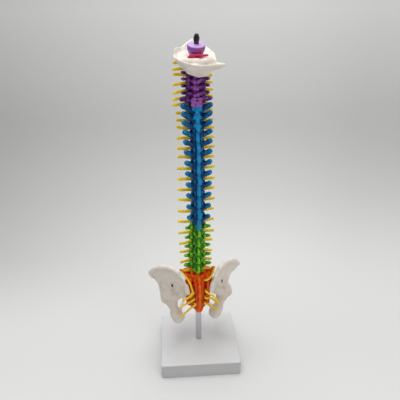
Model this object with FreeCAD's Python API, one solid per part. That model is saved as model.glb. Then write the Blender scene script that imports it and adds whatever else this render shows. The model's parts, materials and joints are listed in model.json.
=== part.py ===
import FreeCAD, Part
import math
import os
from FreeCAD import Vector

os.makedirs("parts", exist_ok=True)

# All lengths are millimetres and all angles are degrees.
# The origin is the middle of the underside of the base board, +Z is up, and the back of
# the spine faces -Y. Left and right are the model's own: left is -X.

# Base board and support rod
base_side = 112.0
base_height = 21.0
base_edge_round = 1.6
base_corner_round = 3.0
tube_diameter = 8.6           # the bright lower tube between board and sacrum
tube_sink = 12.0              # how far the tube stands in the board
core_diameter = 4.0           # the thinner rod that runs up the canal
fit_gap = 0.15                # running clearance round rod, screws and sleeve

# The line of the canal, from the lower end of the sacrum up to the head
sacrum_foot_height = 72.0     # lower end of the sacrum above the table
sacral_length = 65.5          # length of canal inside the sacrum
column_turn = 6.0             # the column stands slightly turned on its board
lean_sacrum = 8.0             # forward lean of the canal at the sacral plate
lean_l2 = -12.0
lean_t9 = -1.0
lean_t3 = 9.0
lean_t1 = 7.0
lean_head = -17.0

# Height shares of the vertebrae, each with the disc under it, lowest to highest
lumbar_share = (14.8, 16.4)
thoracic_share = (16.5, 9.6)
cervical_share = (8.3, 7.9)
axis_share = 7.2
atlas_rise = 6.0              # atlas centre above axis centre
head_rise = 3.2               # foramen magnum above atlas centre
lumbar_disc = (3.6, 3.2)
thoracic_disc = (2.8, 1.9)
cervical_disc = (1.8, 1.6)

# Vertebral bodies, widths and depths, lowest to highest
lumbar_body = ((22.5, 15.5), (19.0, 14.0))
thoracic_body = ((17.5, 13.5), (13.5, 9.5))
cervical_body = ((12.5, 8.8), (11.0, 8.0))
waist = 0.86                  # waist of a body against its end plates
disc_inset = 0.35             # disc edge inside the end plate's edge

# Canal, arch and processes
canal_diameter = 8.8
canal_depth = 8.8             # from the back wall of a body to its lamina
plate_sides = 14
lamina_thickness = 2.1
arch_half = {"lumbar": (8.2, 7.8), "thoracic": (7.6, 7.2), "cervical": (7.4, 7.2)}
pedicle_round = {"lumbar": (3.2, 3.0), "thoracic": (2.7, 2.0), "cervical": (1.7, 1.6)}
transverse_reach = {"lumbar": (20.0, 17.6), "thoracic": (13.6, 17.4), "cervical": (16.4, 15.6)}
transverse_round = {"lumbar": (3.3, 3.0), "thoracic": (2.7, 3.1), "cervical": (2.0, 1.9)}
lamina_half = {"lumbar": (8.8, 8.6), "thoracic": (8.9, 8.7), "cervical": (9.6, 9.2)}
lamina_front = -0.2           # the roots leave the canal in front of this
spine_reach = {"lumbar": (16.0, 16.5), "thoracic": (15.0, 14.0), "cervical": (12.0, 10.0)}
c7_transverse_reach = 19.4
c7_spine_reach = 15.5
facet_gap = 0.15              # clear of the vertebra below, where they would meet
artery_hole = 1.1             # hole through each cervical transverse process

# Cord sleeve and nerve roots
sleeve_diameter = 6.4
root_diameter = 3.7
root_reach = {"lumbar": (22.5, 24.0), "thoracic": (24.5, 23.0), "cervical": (24.0, 23.0)}
root_extra = {"lumbar": (1.0, -0.4), "thoracic": (1.6, -1.2), "cervical": (3.4, -1.8)}
root_start = (2.7, 1.7)       # where a root leaves the sleeve, across and forward
root_forward = 2.6            # a root runs a little to the front on its way out
first_root_start = (1.8, -2.4)    # the roots under the atlas leave behind its side masses
first_root_forward = -7.0

# Sacrum
sacrum_top_width = 47.0
sacrum_foot_width = 10.4
sacral_plate = (22.0, 15.0)
sacral_hole = 1.5
crest_height = 3.0

# Hip bones
hip_seat = 19.0               # half width of the sacrum at the joint, at its middle height
hip_seat_splay = 0.32         # the joint opens towards the front
hip_seat_taper = 0.11         # and upwards
hip_gap = 0.25
blade_thickness = 3.4
crest_thickness = 5.6
acetabulum_radius = 10.6
socket_radius = 7.6
pubic_gap = 2.4               # thickness of the pad between the pubic bones
screw_diameter = 2.6
screw_head = 4.6

# Head: occipital bone, brain stem, arteries and nut
skull_wall = 2.2
foramen_radius = 7.0
stem_top_radius = 10.4
stem_neck_radius = 5.4
stem_height = 15.5
stem_collar = (5.9, 3.4)
artery_diameter = 2.4
nut_across = 6.0
nut_height = 8.2

levels = ["l5", "l4", "l3", "l2", "l1"]
levels += ["t%d" % n for n in range(12, 0, -1)]
levels += ["c%d" % n for n in range(7, 0, -1)]
region_of = {"l": "lumbar", "t": "thoracic", "c": "cervical"}
region_count = {"lumbar": 5, "thoracic": 12, "cervical": 5}
region_base = {"lumbar": "l5", "thoracic": "t12", "cervical": "c7"}
region_share = {"lumbar": lumbar_share, "thoracic": thoracic_share, "cervical": cervical_share}
region_disc = {"lumbar": lumbar_disc, "thoracic": thoracic_disc, "cervical": cervical_disc}
region_body = {"lumbar": lumbar_body, "thoracic": thoracic_body, "cervical": cervical_body}

origin = Vector(0, 0, 0)
axis_x = Vector(1, 0, 0)
axis_y = Vector(0, 1, 0)
axis_z = Vector(0, 0, 1)
far = 400.0                   # reach of a cutting block


# Place within a region, 0 at its lowest vertebra and 1 at its highest
def rank(name):
    region = region_of[name[0]]
    step = levels.index(name) - levels.index(region_base[region])
    return region, step / (region_count[region] - 1.0)


def blend(pair, t):
    return pair[0] + (pair[1] - pair[0]) * min(t, 1.0)


# Stations along the canal: centre, body height and disc thickness of every vertebra
stations = {}
climb = sacral_length
for name in levels:
    region, t = rank(name)
    if name == "c1":
        stations[name] = (stations["c2"][0] + atlas_rise, 5.0, 0.0)
        continue
    share = axis_share if name == "c2" else blend(region_share[region], t)
    disc = blend(region_disc[region], t)
    stations[name] = (climb + disc + (share - disc) / 2, share - disc, disc)
    climb += share
head_station = stations["c1"][0] + head_rise

lean_marks = [(0.0, 0.0), (sacral_length, lean_sacrum), (stations["l2"][0], lean_l2),
              (stations["t9"][0], lean_t9), (stations["t3"][0], lean_t3),
              (stations["t1"][0], lean_t1), (stations["c1"][0], lean_head),
              (stations["c1"][0] + far, lean_head)]


# Point and lean of the canal line at a station, on tangent arcs between the lean marks
def canal_at(station):
    y, z = 0.0, sacrum_foot_height
    if station <= 0:
        return y, z + station, 0.0
    for (s0, a0), (s1, a1) in zip(lean_marks, lean_marks[1:]):
        run = min(station, s1) - s0
        lean0 = math.radians(a0)
        bend = math.radians(a1 - a0) / (s1 - s0)
        lean1 = lean0 + bend * run
        if abs(bend) < 1e-9:
            y += run * math.sin(lean0)
            z += run * math.cos(lean0)
        else:
            y += (math.cos(lean0) - math.cos(lean1)) / bend
            z += (math.sin(lean1) - math.sin(lean0)) / bend
        if station <= s1:
            return y, z, math.degrees(lean1)
    return y, z, math.degrees(lean1)


# The frame of a station: its z runs along the canal, its y to the front
def frame_at(station):
    y, z, lean = canal_at(station)
    return FreeCAD.Placement(Vector(0, y, z), FreeCAD.Rotation(axis_x, -lean))


turned = FreeCAD.Placement(origin, FreeCAD.Rotation(axis_z, column_turn))


def placed(shape, placement):
    copy = shape.copy()
    copy.transformShape(placement.toMatrix(), True)
    return copy


def mirrored(shape):
    return shape.mirror(origin, axis_x)


def closed_outline(points):
    return Part.makePolygon(list(points) + [points[0]])


def oval(station, wide, tall, sides):
    turns = [math.radians(360 * (i + 0.5) / sides) for i in range(sides)]
    return closed_outline([Vector(station, wide * math.cos(a), tall * math.sin(a)) for a in turns])


# A club along +X: radii at even steps from the root, a blunt chamfered tip at the end
def club(length, radii, flat, tall, sides):
    last = len(radii) - 1
    rings = [oval(length * 0.86 * i / last, r * flat, r * tall, sides) for i, r in enumerate(radii)]
    rings.append(oval(length, radii[last] * 0.5 * flat, radii[last] * 0.5 * tall, sides))
    return Part.makeLoft(rings, True, True)


# The same club set between two points, its flat side square to up
def limb(start, end, radii, flat=1.0, tall=1.0, up=axis_z, sides=8):
    line = end - start
    across = up.cross(line).normalize()
    rotation = FreeCAD.Rotation(line, across, line.cross(across), "XZY")
    return placed(club(line.Length, radii, flat, tall, sides), FreeCAD.Placement(start, rotation))


def fused(solids):
    result = solids[0].multiFuse(solids[1:])
    return result.removeSplitter()


# Outline of an end plate: an oval with a shallow hollow at the canal
def plate_outline(width, depth, height, inset=0.0, scale=1.0):
    back = canal_depth / 2 + 0.3
    middle = back + depth / 2
    points = []
    for i in range(plate_sides):
        a = math.radians(360 * (i + 0.5) / plate_sides)
        x = (width / 2 - inset) * scale * math.cos(a)
        y = (depth / 2 - inset) * scale * math.sin(a)
        points.append(Vector(x, middle + max(y, -0.44 * depth * scale), height))
    return closed_outline(points)


def vertebral_body(width, depth, height):
    sections = [plate_outline(width, depth, -height / 2),
                plate_outline(width, depth, -height * 0.18, scale=waist),
                plate_outline(width, depth, height * 0.18, scale=waist),
                plate_outline(width, depth, height / 2)]
    return Part.makeLoft(sections, True, True)


# The canal hole, longer than any vertebra
def canal_cut(height):
    return Part.makeCylinder(canal_diameter / 2, 2 * height, Vector(0, 0, -height))


# Laminae: a horseshoe round the back of the canal, its lower edge set further back
def laminae(half, low, high, slope):
    back = -(canal_depth / 2 + lamina_thickness)
    right = [Vector(half - 0.6, lamina_front, 0), Vector(half, -2.2, 0), Vector(half * 0.60, back + 0.6, 0),
             Vector(half * 0.18, back - 0.5, 0)]
    left = [Vector(-p.x, p.y, 0) for p in reversed(right)]
    face = Part.Face(closed_outline(right + left))
    face.translate(Vector(0, slope * low, low))
    return face.extrude(Vector(0, slope * (high - low), high - low))


def pedicle(half, width, depth, radius, height):
    start = Vector(half - 1.6, -1.0, height)
    end = Vector(min(half - 1.8, width * 0.36), canal_depth / 2 + depth * 0.45, height)
    return limb(start, end, [radius, radius, radius], 0.72)


def lumbar_vertebra(name):
    region, t = rank(name)
    height = stations[name][1]
    width = blend((lumbar_body[0][0], lumbar_body[1][0]), t)
    depth = blend((lumbar_body[0][1], lumbar_body[1][1]), t)
    half = blend(arch_half[region], t)
    thick = blend(transverse_round[region], t)
    reach = blend(transverse_reach[region], t)
    back = canal_depth / 2 + lamina_thickness
    solids = [vertebral_body(width, depth, height),
              laminae(blend(lamina_half[region], t), -height * 0.52, height * 0.46, 0.12)]
    sides = [pedicle(half, width, depth, blend(pedicle_round[region], t), height * 0.16),
             limb(Vector(half - 2.2, -1.6, 0.4), Vector(reach, -4.4, 2.0),
                  [thick * 1.1, thick * 0.85, thick * 1.1, thick * 0.85], 0.66),
             limb(Vector(half - 0.2, -3.0, -2.6), Vector(half + 1.1, -4.6, height / 2 + 2.8),
                  [3.3, 3.1, 2.5], 0.85),
             limb(Vector(half - 3.6, -back + 0.9, 1.5), Vector(half - 3.9, -back + 0.2, -height / 2 - 3.2),
                  [3.0, 2.8, 2.3], 0.88)]
    spine = limb(Vector(0, -back + 2.0, -0.6), Vector(0, -blend(spine_reach[region], t), -2.4),
                 [5.6, 4.9, 5.3, 4.6], 0.36)
    solids += sides + [mirrored(s) for s in sides] + [spine]
    return fused(solids).cut(canal_cut(height * 2))


def thoracic_vertebra(name):
    region, t = rank(name)
    share = blend(thoracic_share, t)
    height = stations[name][1]
    width = blend((thoracic_body[0][0], thoracic_body[1][0]), t)
    depth = blend((thoracic_body[0][1], thoracic_body[1][1]), t)
    half = blend(arch_half[region], t)
    thick = blend(transverse_round[region], t)
    reach = blend(transverse_reach[region], t)
    back = canal_depth / 2 + lamina_thickness
    solids = [vertebral_body(width, depth, height),
              laminae(blend(lamina_half[region], t), -share * 0.45, share * 0.42, 0.16)]
    sides = [pedicle(half, width, depth, blend(pedicle_round[region], t), height * 0.18),
             limb(Vector(half - 3.4, -4.0, -share * 0.20), Vector(reach, -8.2, share * 0.28),
                  [thick * 1.35, thick * 1.0, thick * 0.95, thick * 1.12]),
             limb(Vector(half - 0.2, -3.4, -1.6), Vector(half + 0.3, -4.3, height / 2 + share * 0.12),
                  [2.1, 1.8, 1.5], 0.9),
             limb(Vector(half - 3.2, -back + 1.2, 0.4), Vector(half - 3.6, -back + 0.3, -share * 0.60),
                  [2.3, 2.1, 1.7], 0.85)]
    spine = limb(Vector(0, -back + 2.4, share * 0.16), Vector(0, -blend(spine_reach[region], t), -share * 0.78),
                 [3.2, 3.0, 2.5, 2.0], 0.72)
    solids += sides + [mirrored(s) for s in sides] + [spine]
    return fused(solids).cut(canal_cut(height * 2))


def cervical_vertebra(name):
    region, t = rank(name)
    share = axis_share if name == "c2" else blend(cervical_share, t)
    height = stations[name][1]
    width = blend((cervical_body[0][0], cervical_body[1][0]), t)
    depth = blend((cervical_body[0][1], cervical_body[1][1]), t)
    half = blend(arch_half[region], t)
    thick = blend(transverse_round[region], t)
    back = canal_depth / 2 + lamina_thickness
    reach = c7_transverse_reach if name == "c7" else blend(transverse_reach[region], t)
    solids = [vertebral_body(width, depth, height),
              laminae(blend(lamina_half[region], t), -share * 0.46, share * 0.40, 0.25)]
    # Side pillars are short slanted columns, stacked on each other with a thin gap
    ends = []
    for z in (-share * 0.45, share * 0.43):
        ring = [Vector(half * 1.20 + 3.6 * math.cos(a), 3.1 * math.sin(a) - 3.6, 0) for a in pillar_turns]
        ends.append(closed_outline([Vector(p.x, p.y, z + 0.45 * (p.y + 3.6)) for p in ring]))
    pillar = Part.makeLoft(ends, True, True)
    if name == "c2":
        seat = Part.makeCylinder(3.3, share * 0.30, Vector(half, 1.6, share * 0.14))
    tip_y = -3.0 if name == "c7" else 0.4
    tip_z = 1.2 if name == "c7" else -0.6
    sides = [pedicle(half, width, depth, blend(pedicle_round[region], t), 0.3),
             pillar,
             limb(Vector(half - 2.5, canal_depth / 2 - 0.2, tip_z / 2), Vector(reach, tip_y, tip_z),
                  [thick, thick, thick, thick * 1.1], 1.25, 0.85)]
    if name == "c2":
        sides.append(seat)
        solids.append(limb(Vector(0, canal_depth / 2 + depth * 0.46, 0), Vector(0, canal_depth / 2 + 3.4, atlas_rise + 3.2),
                           [3.0, 2.4, 2.2, 2.3], up=axis_y))
    if name == "c7":
        spine = [limb(Vector(0, -back + 1.6, 0), Vector(0, -c7_spine_reach, -share * 0.75),
                      [2.6, 2.3, 2.0, 2.2], 0.7)]
    else:
        fork = limb(Vector(0.6, -back + 1.6, 0.2), Vector(2.3, -blend(spine_reach[region], t), -share * 0.38),
                    [2.2, 1.8, 1.5, 1.4])
        spine = [fork, mirrored(fork)]
    solids += sides + [mirrored(s) for s in sides] + spine
    result = fused(solids).cut(canal_cut(height * 2))
    for side in (-1, 1):
        hole = Vector(side * (half + 2.6), canal_depth / 2 - 1.2, -share)
        result = result.cut(Part.makeCylinder(artery_hole, 2 * share, hole))
    return result


# The atlas: a ring with side masses, open for the cord behind and the tooth in front
def atlas():
    half = blend(arch_half["cervical"], 1)
    front = canal_depth / 2 + 7.6
    ring_back = canal_depth / 2 + 2.8
    low, high = -1.9, 2.0
    points = [Vector(11.0, 1.0, low), Vector(8.0, 8.0, low), Vector(0, front + 2.0, low), Vector(-8.0, 8.0, low),
              Vector(-11.0, 1.0, low), Vector(-8.4, -5.2, low), Vector(0, -ring_back, low),
              Vector(8.4, -5.2, low)]
    ring = Part.Face(closed_outline(points)).extrude(Vector(0, 0, high - low))
    mass = Part.makeCylinder(3.5, head_rise - 1.3 + atlas_rise * 0.36, Vector(half, 1.6, -atlas_rise * 0.36))
    process = limb(Vector(half, 1.0, 0), Vector(17.0, -1.0, -0.4), [2.0, 1.6, 1.6, 1.8], 1.2, 0.8)
    knob = limb(Vector(0, -ring_back + 1.5, 0), Vector(0, -ring_back - 1.6, -0.3), [1.9, 1.6, 1.4], up=axis_z)
    inner = [Vector(half - 3.2, 0.6, -9), Vector(3.6, front - 1.0, -9), Vector(0, front + 0.2, -9),
             Vector(-3.6, front - 1.0, -9), Vector(3.2 - half, 0.6, -9), Vector(-4.8, -3.2, -9),
             Vector(0, -canal_depth / 2 - 0.8, -9), Vector(4.8, -3.2, -9)]
    opening = Part.Face(closed_outline(inner)).extrude(Vector(0, 0, 18))
    ring = ring.cut(opening)
    result = fused([ring, mass, mirrored(mass), process, mirrored(process), knob])
    result = result.cut(opening)
    for side in (-1, 1):
        hole = Vector(side * (half + 5.2), 0.2, -6)
        result = result.cut(Part.makeCylinder(artery_hole, 12, hole))
    return result


pillar_turns = [math.radians(36 * i + 18) for i in range(10)]


# A disc fills the wedge between two end plates and bulges a little at mid height
def disc_between(lower, upper):
    low_frame = frame_at(stations[lower][0]) if lower != "s1" else frame_at(sacral_length)
    low_size, low_top = plate_size(lower), (stations[lower][1] / 2 if lower != "s1" else 0.0)
    high_frame, high_size = frame_at(stations[upper][0]), plate_size(upper)
    bottom = placed(plate_outline(low_size[0], low_size[1], low_top, disc_inset), low_frame)
    top = placed(plate_outline(high_size[0], high_size[1], -stations[upper][1] / 2, disc_inset), high_frame)
    middle_station = stations[upper][0] - stations[upper][1] / 2 - stations[upper][2] / 2
    middle_size = [(low_size[i] + high_size[i]) / 2 for i in (0, 1)]
    middle = placed(plate_outline(middle_size[0], middle_size[1], 0, -0.1), frame_at(middle_station))
    return Part.makeLoft([bottom, middle, top], True, True)


def plate_size(name):
    if name == "s1":
        return sacral_plate
    region, t = rank(name)
    body = region_body[region]
    return (blend((body[0][0], body[1][0]), t), blend((body[0][1], body[1][1]), t))


# A round bar along the canal line between two stations, made of arc pieces
def canal_bar(radius, start, end):
    marks = sorted({start, end} | {s for s, a in lean_marks if start < s < end})
    pieces = []
    for s0, s1 in zip(marks, marks[1:]):
        y0, z0, a0 = canal_at(s0)
        y1, z1, a1 = canal_at(s1)
        circle = Part.makeCircle(radius, Vector(0, y0, z0),
                                 Vector(0, math.sin(math.radians(a0)), math.cos(math.radians(a0))))
        face = Part.Face(Part.Wire(circle))
        if abs(a1 - a0) < 1e-6:
            pieces.append(face.extrude(Vector(0, y1 - y0, z1 - z0)))
            continue
        swing = (s1 - s0) / math.radians(a1 - a0)
        centre = Vector(0, y0 + swing * math.cos(math.radians(a0)), z0 - swing * math.sin(math.radians(a0)))
        pieces.append(face.revolve(centre, Vector(-1, 0, 0), a1 - a0))
    return pieces[0] if len(pieces) == 1 else pieces[0].multiFuse(pieces[1:])


def save(name, shape, turn=True):
    if turn:
        shape = placed(shape, turned)
    solids = [solid for solid in shape.Solids if solid.Volume > 1.0]
    kept = solids[0] if len(solids) == 1 else Part.makeCompound(solids)
    kept.exportStep("parts/%s.step" % name)
    print(name, len(solids), "valid" if kept.isValid() else "NOT VALID", round(kept.Volume, 1))


def base_board():
    board = Part.makeBox(base_side, base_side, base_height, Vector(-base_side / 2, -base_side / 2, 0))
    board = board.makeFillet(base_corner_round, [e for e in board.Edges if abs(e.tangentAt(0).z) > 0.9])
    board = board.makeFillet(base_edge_round, [e for e in board.Edges if e.CenterOfMass.z > base_height - 0.01])
    bore = Part.makeCylinder(tube_diameter / 2 + fit_gap, tube_sink, Vector(0, 0, base_height - tube_sink))
    return board.cut(bore)


rod_shoulder = 6.0            # the lower tube ends this far inside the sacrum
rod_top = head_station + stem_height + stem_collar[1] + nut_height - 2.2


def support_rod():
    tube = Part.makeCylinder(tube_diameter / 2, sacrum_foot_height + rod_shoulder - base_height + tube_sink,
                             Vector(0, 0, base_height - tube_sink))
    core = canal_bar(core_diameter / 2, rod_shoulder, rod_top)
    return fused([tube, core])


# Outline of the sacrum at one height: hollow in front, ridged behind
def sacral_outline(height, half, back, front):
    deep = front - back
    right = [Vector(half * 0.22, back, height), Vector(half * 0.62, back + 0.16 * deep, height),
             Vector(half * 0.96, back + 0.40 * deep, height), Vector(half, back + 0.66 * deep, height),
             Vector(half * 0.72, back + 0.90 * deep, height), Vector(half * 0.25, front, height)]
    left = [Vector(-p.x, p.y, p.z) for p in reversed(right)]
    return closed_outline(right + left)


# The joint face between sacrum and hip bone: a block that holds everything outside it
def beyond_joint(side, gap):
    middle = sacrum_foot_height + sacral_length * 0.66
    block = Part.makeBox(far, far, far, Vector(0, -far / 2, -far / 2))
    tilt = FreeCAD.Rotation(axis_y, math.degrees(math.atan(hip_seat_taper)))
    splay = FreeCAD.Rotation(axis_z, -math.degrees(math.atan(hip_seat_splay)))
    block = placed(block, FreeCAD.Placement(Vector(hip_seat + gap, 0, middle), splay.multiply(tilt)))
    return block if side > 0 else mirrored(block)


def sacrum():
    half = sacrum_top_width / 2
    foot = sacrum_foot_width / 2
    top = sacral_length * 0.93
    rows = [(0.0, foot, -foot - 0.9, foot), (0.10, half * 0.40, -8.2, 6.6), (0.19, half * 0.74, -9.8, 7.8),
            (0.31, half * 0.74, -11.4, 9.6), (0.50, half * 0.88, -12.5, 13.5), (0.74, half, -11.0, 19.0),
            (0.93, half, -5.0, 23.5)]
    outlines = [sacral_outline(sacrum_foot_height + f * sacral_length, w, b, t) for f, w, b, t in rows]
    solid = Part.makeLoft(outlines, True, True)
    plate = Part.Face(plate_outline(sacral_plate[0], sacral_plate[1], 0)).extrude(Vector(0, 0, -9))
    plate = placed(plate, frame_at(sacral_length))
    level = sacrum_foot_height + top
    sides = [limb(Vector(half * 0.52, 9.0, level - 4), Vector(half * 1.10, 4.0, level + 6.4), [4.4, 3.8, 2.8], 0.9),
             limb(Vector(8.6, 1.0, level - 3), Vector(9.3, -1.2, level + 7.6), [2.4, 2.2, 1.9], sides=6)]
    crest = []
    for f, back in ((0.86, -8.2), (0.68, -11.6), (0.50, -12.6), (0.34, -11.9)):
        z = sacrum_foot_height + f * sacral_length
        crest.append(limb(Vector(0, back + 3.5, z + 2.4), Vector(0, back - crest_height, z - 2.2),
                          [3.2, 2.6, 1.9], 0.6, sides=6))
    for f, back, x in ((0.76, -9.6, 8.6), (0.60, -11.2, 8.4), (0.43, -11.4, 7.8), (0.29, -9.6, 6.6)):
        z = sacrum_foot_height + f * sacral_length
        sides.append(limb(Vector(x * 0.62, back + 3.0, z), Vector(x * 0.55, back - 1.6, z - 1.2),
                          [1.7, 1.5, 1.2], sides=6))
    solid = fused([solid, plate] + sides + [mirrored(s) for s in sides] + crest)
    joint_band = Part.makeBox(far, far, joint_ceiling - joint_floor - 3, Vector(-far / 2, -far / 2, joint_floor + 3))
    for side in (-1, 1):
        solid = solid.cut(beyond_joint(side, 0.0).common(joint_band))
        for f, x in sacral_rows:
            z = sacrum_foot_height + f * sacral_length
            hole = Part.makeCylinder(sacral_hole, far, Vector(side * x, -far / 2, z), axis_y)
            solid = solid.cut(hole)
    solid = solid.cut(canal_bar(core_diameter / 2 + fit_gap, -6.0, sacral_length + 4.0))
    solid = solid.cut(canal_bar(canal_diameter / 2, sacral_length - cord_depth, sacral_length + 12.0))
    solid = solid.cut(Part.makeCylinder(tube_diameter / 2 + fit_gap, rod_shoulder + 10,
                                        Vector(0, 0, sacrum_foot_height - 10)))
    for side in (-1, 1):
        start, aim = screw_line(side)
        solid = solid.cut(Part.makeCylinder(screw_diameter / 2 + fit_gap, screw_length, start, aim))
    return solid.cut(root_pair("l5", dict(root_stations())["l5"], fit_gap + 0.1))


sacral_rows = ((0.78, 9.8), (0.60, 9.0), (0.44, 8.2), (0.30, 7.2))
cord_depth = 9.0              # the cord sleeve ends this far inside the sacrum
screw_length = 24.0


# The hip screw goes from the outer face of the blade through the joint into the sacrum
def screw_line(side):
    start = Vector(side * 35.6, -6.0, sacrum_foot_height + 47.4)
    aim = Vector(-side * 0.90, 0.42, 0.0)
    return start, aim.normalize()


# One section of the thin blade of the hip bone, thick at the crest and at the foot
def blade_section(top, foot, along):
    line = top - foot
    across = along.cross(line).normalize()
    spread = [(0.0, 0.30), (0.07, 0.50), (0.22, 0.42), (0.50, blade_thickness / crest_thickness / 2),
              (0.82, 0.36), (0.95, 0.50), (1.0, 0.26)]
    right = [foot + line * f + across * (w * crest_thickness) for f, w in spread]
    left = [foot + line * f - across * (w * crest_thickness) for f, w in reversed(spread)]
    return closed_outline(right + left)


def hip_bone():
    crest = [Vector(22.0, -16.5, 141.0), Vector(29.0, -11.5, 148.0), Vector(38.5, -2.0, 149.5),
             Vector(49.5, 9.0, 146.0), Vector(59.5, 20.0, 137.5), Vector(67.0, 30.0, 125.5)]
    foot = [Vector(14.5, -13.5, 112.0), Vector(20.5, -8.5, 103.0), Vector(30.0, 0.0, 96.0),
            Vector(40.0, 9.5, 90.0), Vector(46.5, 16.5, 94.0), Vector(52.5, 23.0, 104.0)]
    sections = []
    for i, (top, low) in enumerate(zip(crest, foot)):
        before, after = max(i - 1, 0), min(i + 1, len(crest) - 1)
        along = (crest[after] + foot[after]) - (crest[before] + foot[before])
        sections.append(blade_section(top, low, along))
    blade = Part.makeLoft(sections, True, True)
    cup = Vector(42.0, 16.0, 88.6)
    seat = Vector(29.8, 4.0, 58.6)
    body = Part.makeSphere(acetabulum_radius, cup)
    ischium = limb(Vector(38.0, 10.0, 101.0), Vector(35.0, 5.6, 76.0), [8.6, 9.4, 8.2, 5.6], 0.95, up=axis_y)
    haunch = limb(Vector(35.8, 6.2, 83.0), Vector(28.6, 3.4, 51.0), [4.8, 5.0, 6.4, 7.6, 7.4], 0.95, up=axis_y)
    neck = limb(Vector(52.0, 22.0, 110.0), cup, [2.2, 5.0, 8.0, 9.0])
    boss = limb(Vector(32.5, -3.5, 119.0), Vector(13.0, -1.0, 114.0), [10.0, 12.0, 13.0], 0.55)
    upper = limb(cup, Vector(8.0, 43.0, 86.0), [8.5, 5.2, 4.0, 4.4], 0.8)
    lower = limb(seat, Vector(9.0, 42.0, 77.0), [6.0, 4.0, 3.4, 3.8], 0.7)
    pubis = limb(Vector(13.0, 42.0, 81.5), Vector(pubic_gap / 2 - 3.0, 45.0, 82.0), [5.0, 6.2, 6.6], 0.62)
    solid = fused([blade, body, ischium, haunch, neck, boss, upper, lower, pubis])
    solid = solid.cut(beyond_pubis())
    aim = Vector(0.72, 0.42, -0.55).normalize()
    solid = solid.cut(Part.makeSphere(socket_radius, cup + aim * (acetabulum_radius - socket_radius + 3.4)))
    inward = Part.makeBox(far, far, far, Vector(-far / 2, -far / 2, -far / 2))
    solid = solid.cut(inward.cut(beyond_joint(1, hip_gap)).common(
        Part.makeBox(far, far, far, Vector(-far / 2, -far / 2, joint_floor))))
    start, along = screw_line(1)
    solid = solid.cut(Part.makeCylinder(screw_diameter / 2 + fit_gap, screw_length + 6, start - along * 3, along))
    solid = solid.cut(Part.makeCylinder(screw_head / 2 + fit_gap, 12, start - along * 11.4, along))
    return solid


joint_floor = 92.0            # the joint face reaches down to here
joint_ceiling = 134.0         # and up to here, where the sacrum's wings go over it


# Everything on the far side of the pubic pad's face
def beyond_pubis():
    return Part.makeBox(far, far, far, Vector(pubic_gap / 2 - far, -far / 2, -far / 2))


def pubic_disc():
    face = Part.Face(oval(-pubic_gap / 2, 3.4, 5.6, 12))
    face.translate(Vector(0, 44.6, 81.8))
    return face.extrude(Vector(pubic_gap, 0, 0))


def hip_screws():
    screws = []
    for side in (-1, 1):
        start, aim = screw_line(side)
        shank = Part.makeCylinder(screw_diameter / 2, screw_length - 0.4, start, aim)
        head = Part.makeCylinder(screw_head / 2, 1.8, start - aim * 1.2, aim)
        slot = Part.makeBox(0.7, screw_head + 1, 0.9, Vector(-0.35, -screw_head / 2 - 0.5, -0.45))
        slot = placed(slot, FreeCAD.Placement(start - aim * 1.2, FreeCAD.Rotation(axis_z, aim)))
        screws.append(shank.fuse(head).cut(slot).removeSplitter())
    return Part.makeCompound(screws)


# Middle of the gap under a vertebra, where a pair of roots leaves the canal
def root_stations():
    places = []
    for name in levels:
        station, height, disc = stations[name]
        if name == "c1":
            places.append((name, station - atlas_rise / 2))
        else:
            places.append((name, station - height / 2 - disc / 2))
    return places


# One pair of roots at its gap; grow widens them for the channel they lie in
def root_pair(name, station, grow=0.0):
    region, t = rank(name)
    r = root_diameter / 2 * (0.86 if region == "cervical" else 1.0)
    drop = {"lumbar": -3.0, "thoracic": 0.6, "cervical": -1.6}[region]
    start, forward = root_start, root_forward
    if name == "c1":
        start, forward = first_root_start, first_root_forward
    pair = []
    for side, extra in zip((-1, 1), root_extra[region]):
        reach = blend(root_reach[region], t) + extra + grow * 4
        radii = [r + grow, r + grow, r * 0.96 + grow, r * 0.9 + grow]
        root = limb(Vector(start[0] - grow, start[1], 0), Vector(reach, forward, drop), radii)
        pair.append(placed(root if side > 0 else mirrored(root), frame_at(station)))
    return pair


cord_top = head_station - 0.8


def cord_and_roots():
    sleeve = canal_bar(sleeve_diameter / 2, sacral_length - cord_depth + 0.3, cord_top)
    roots = []
    for name, station in root_stations():
        roots += root_pair(name, station)
    solid = sleeve.multiFuse(roots)
    return solid.cut(canal_bar(core_diameter / 2 + fit_gap, sacral_length - cord_depth - 2, cord_top + 2))


# The channels of the roots above and below a vertebra
def root_channels(name):
    place = levels.index(name)
    cuts = []
    for near, station in root_stations():
        if levels.index(near) in (place, place + 1):
            cuts += root_pair(near, station, fit_gap + 0.1)
    return cuts


# Sacral roots: each is plugged in a hole, leaves it to the back and runs out and down
def sacral_roots():
    routes = [(-1, (0.60, 9.0), (14.2, -18.4, 109.0), (25.0, -19.2, 103.4)),
              (-1, (0.44, 8.2), (13.6, -17.0, 99.4), (28.0, -17.0, 92.6)),
              (-1, (0.30, 7.2), (17.6, -14.8, 83.0), (28.4, -14.0, 72.6)),
              (1, (0.60, 9.0), (18.6, -19.4, 106.4), (26.6, -20.2, 94.2)),
              (1, (0.44, 8.2), (15.4, -16.8, 101.6), (27.4, -15.8, 90.0)),
              (1, (0.30, 7.2), (12.6, -14.6, 88.6), (27.2, -14.0, 78.0))]
    roots = []
    r = sacral_hole - fit_gap
    for side, (f, x), bend, tip in routes:
        z = sacrum_foot_height + f * sacral_length
        inner = limb(Vector(x, -7.0, z), Vector(x, -16.6, z), [r, r], sides=8)
        middle = limb(Vector(x, -15.6, z + 0.4), Vector(*bend), [r * 1.05, r * 1.05], sides=8)
        outer = limb(Vector(*bend) + Vector(-1.2, 0, 0.8), Vector(*tip), [r * 1.05, r * 1.0, r * 0.8], sides=8)
        one = fused([inner, middle, outer])
        roots.append(one if side > 0 else mirrored(one))
    return Part.makeCompound(roots)


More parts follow.
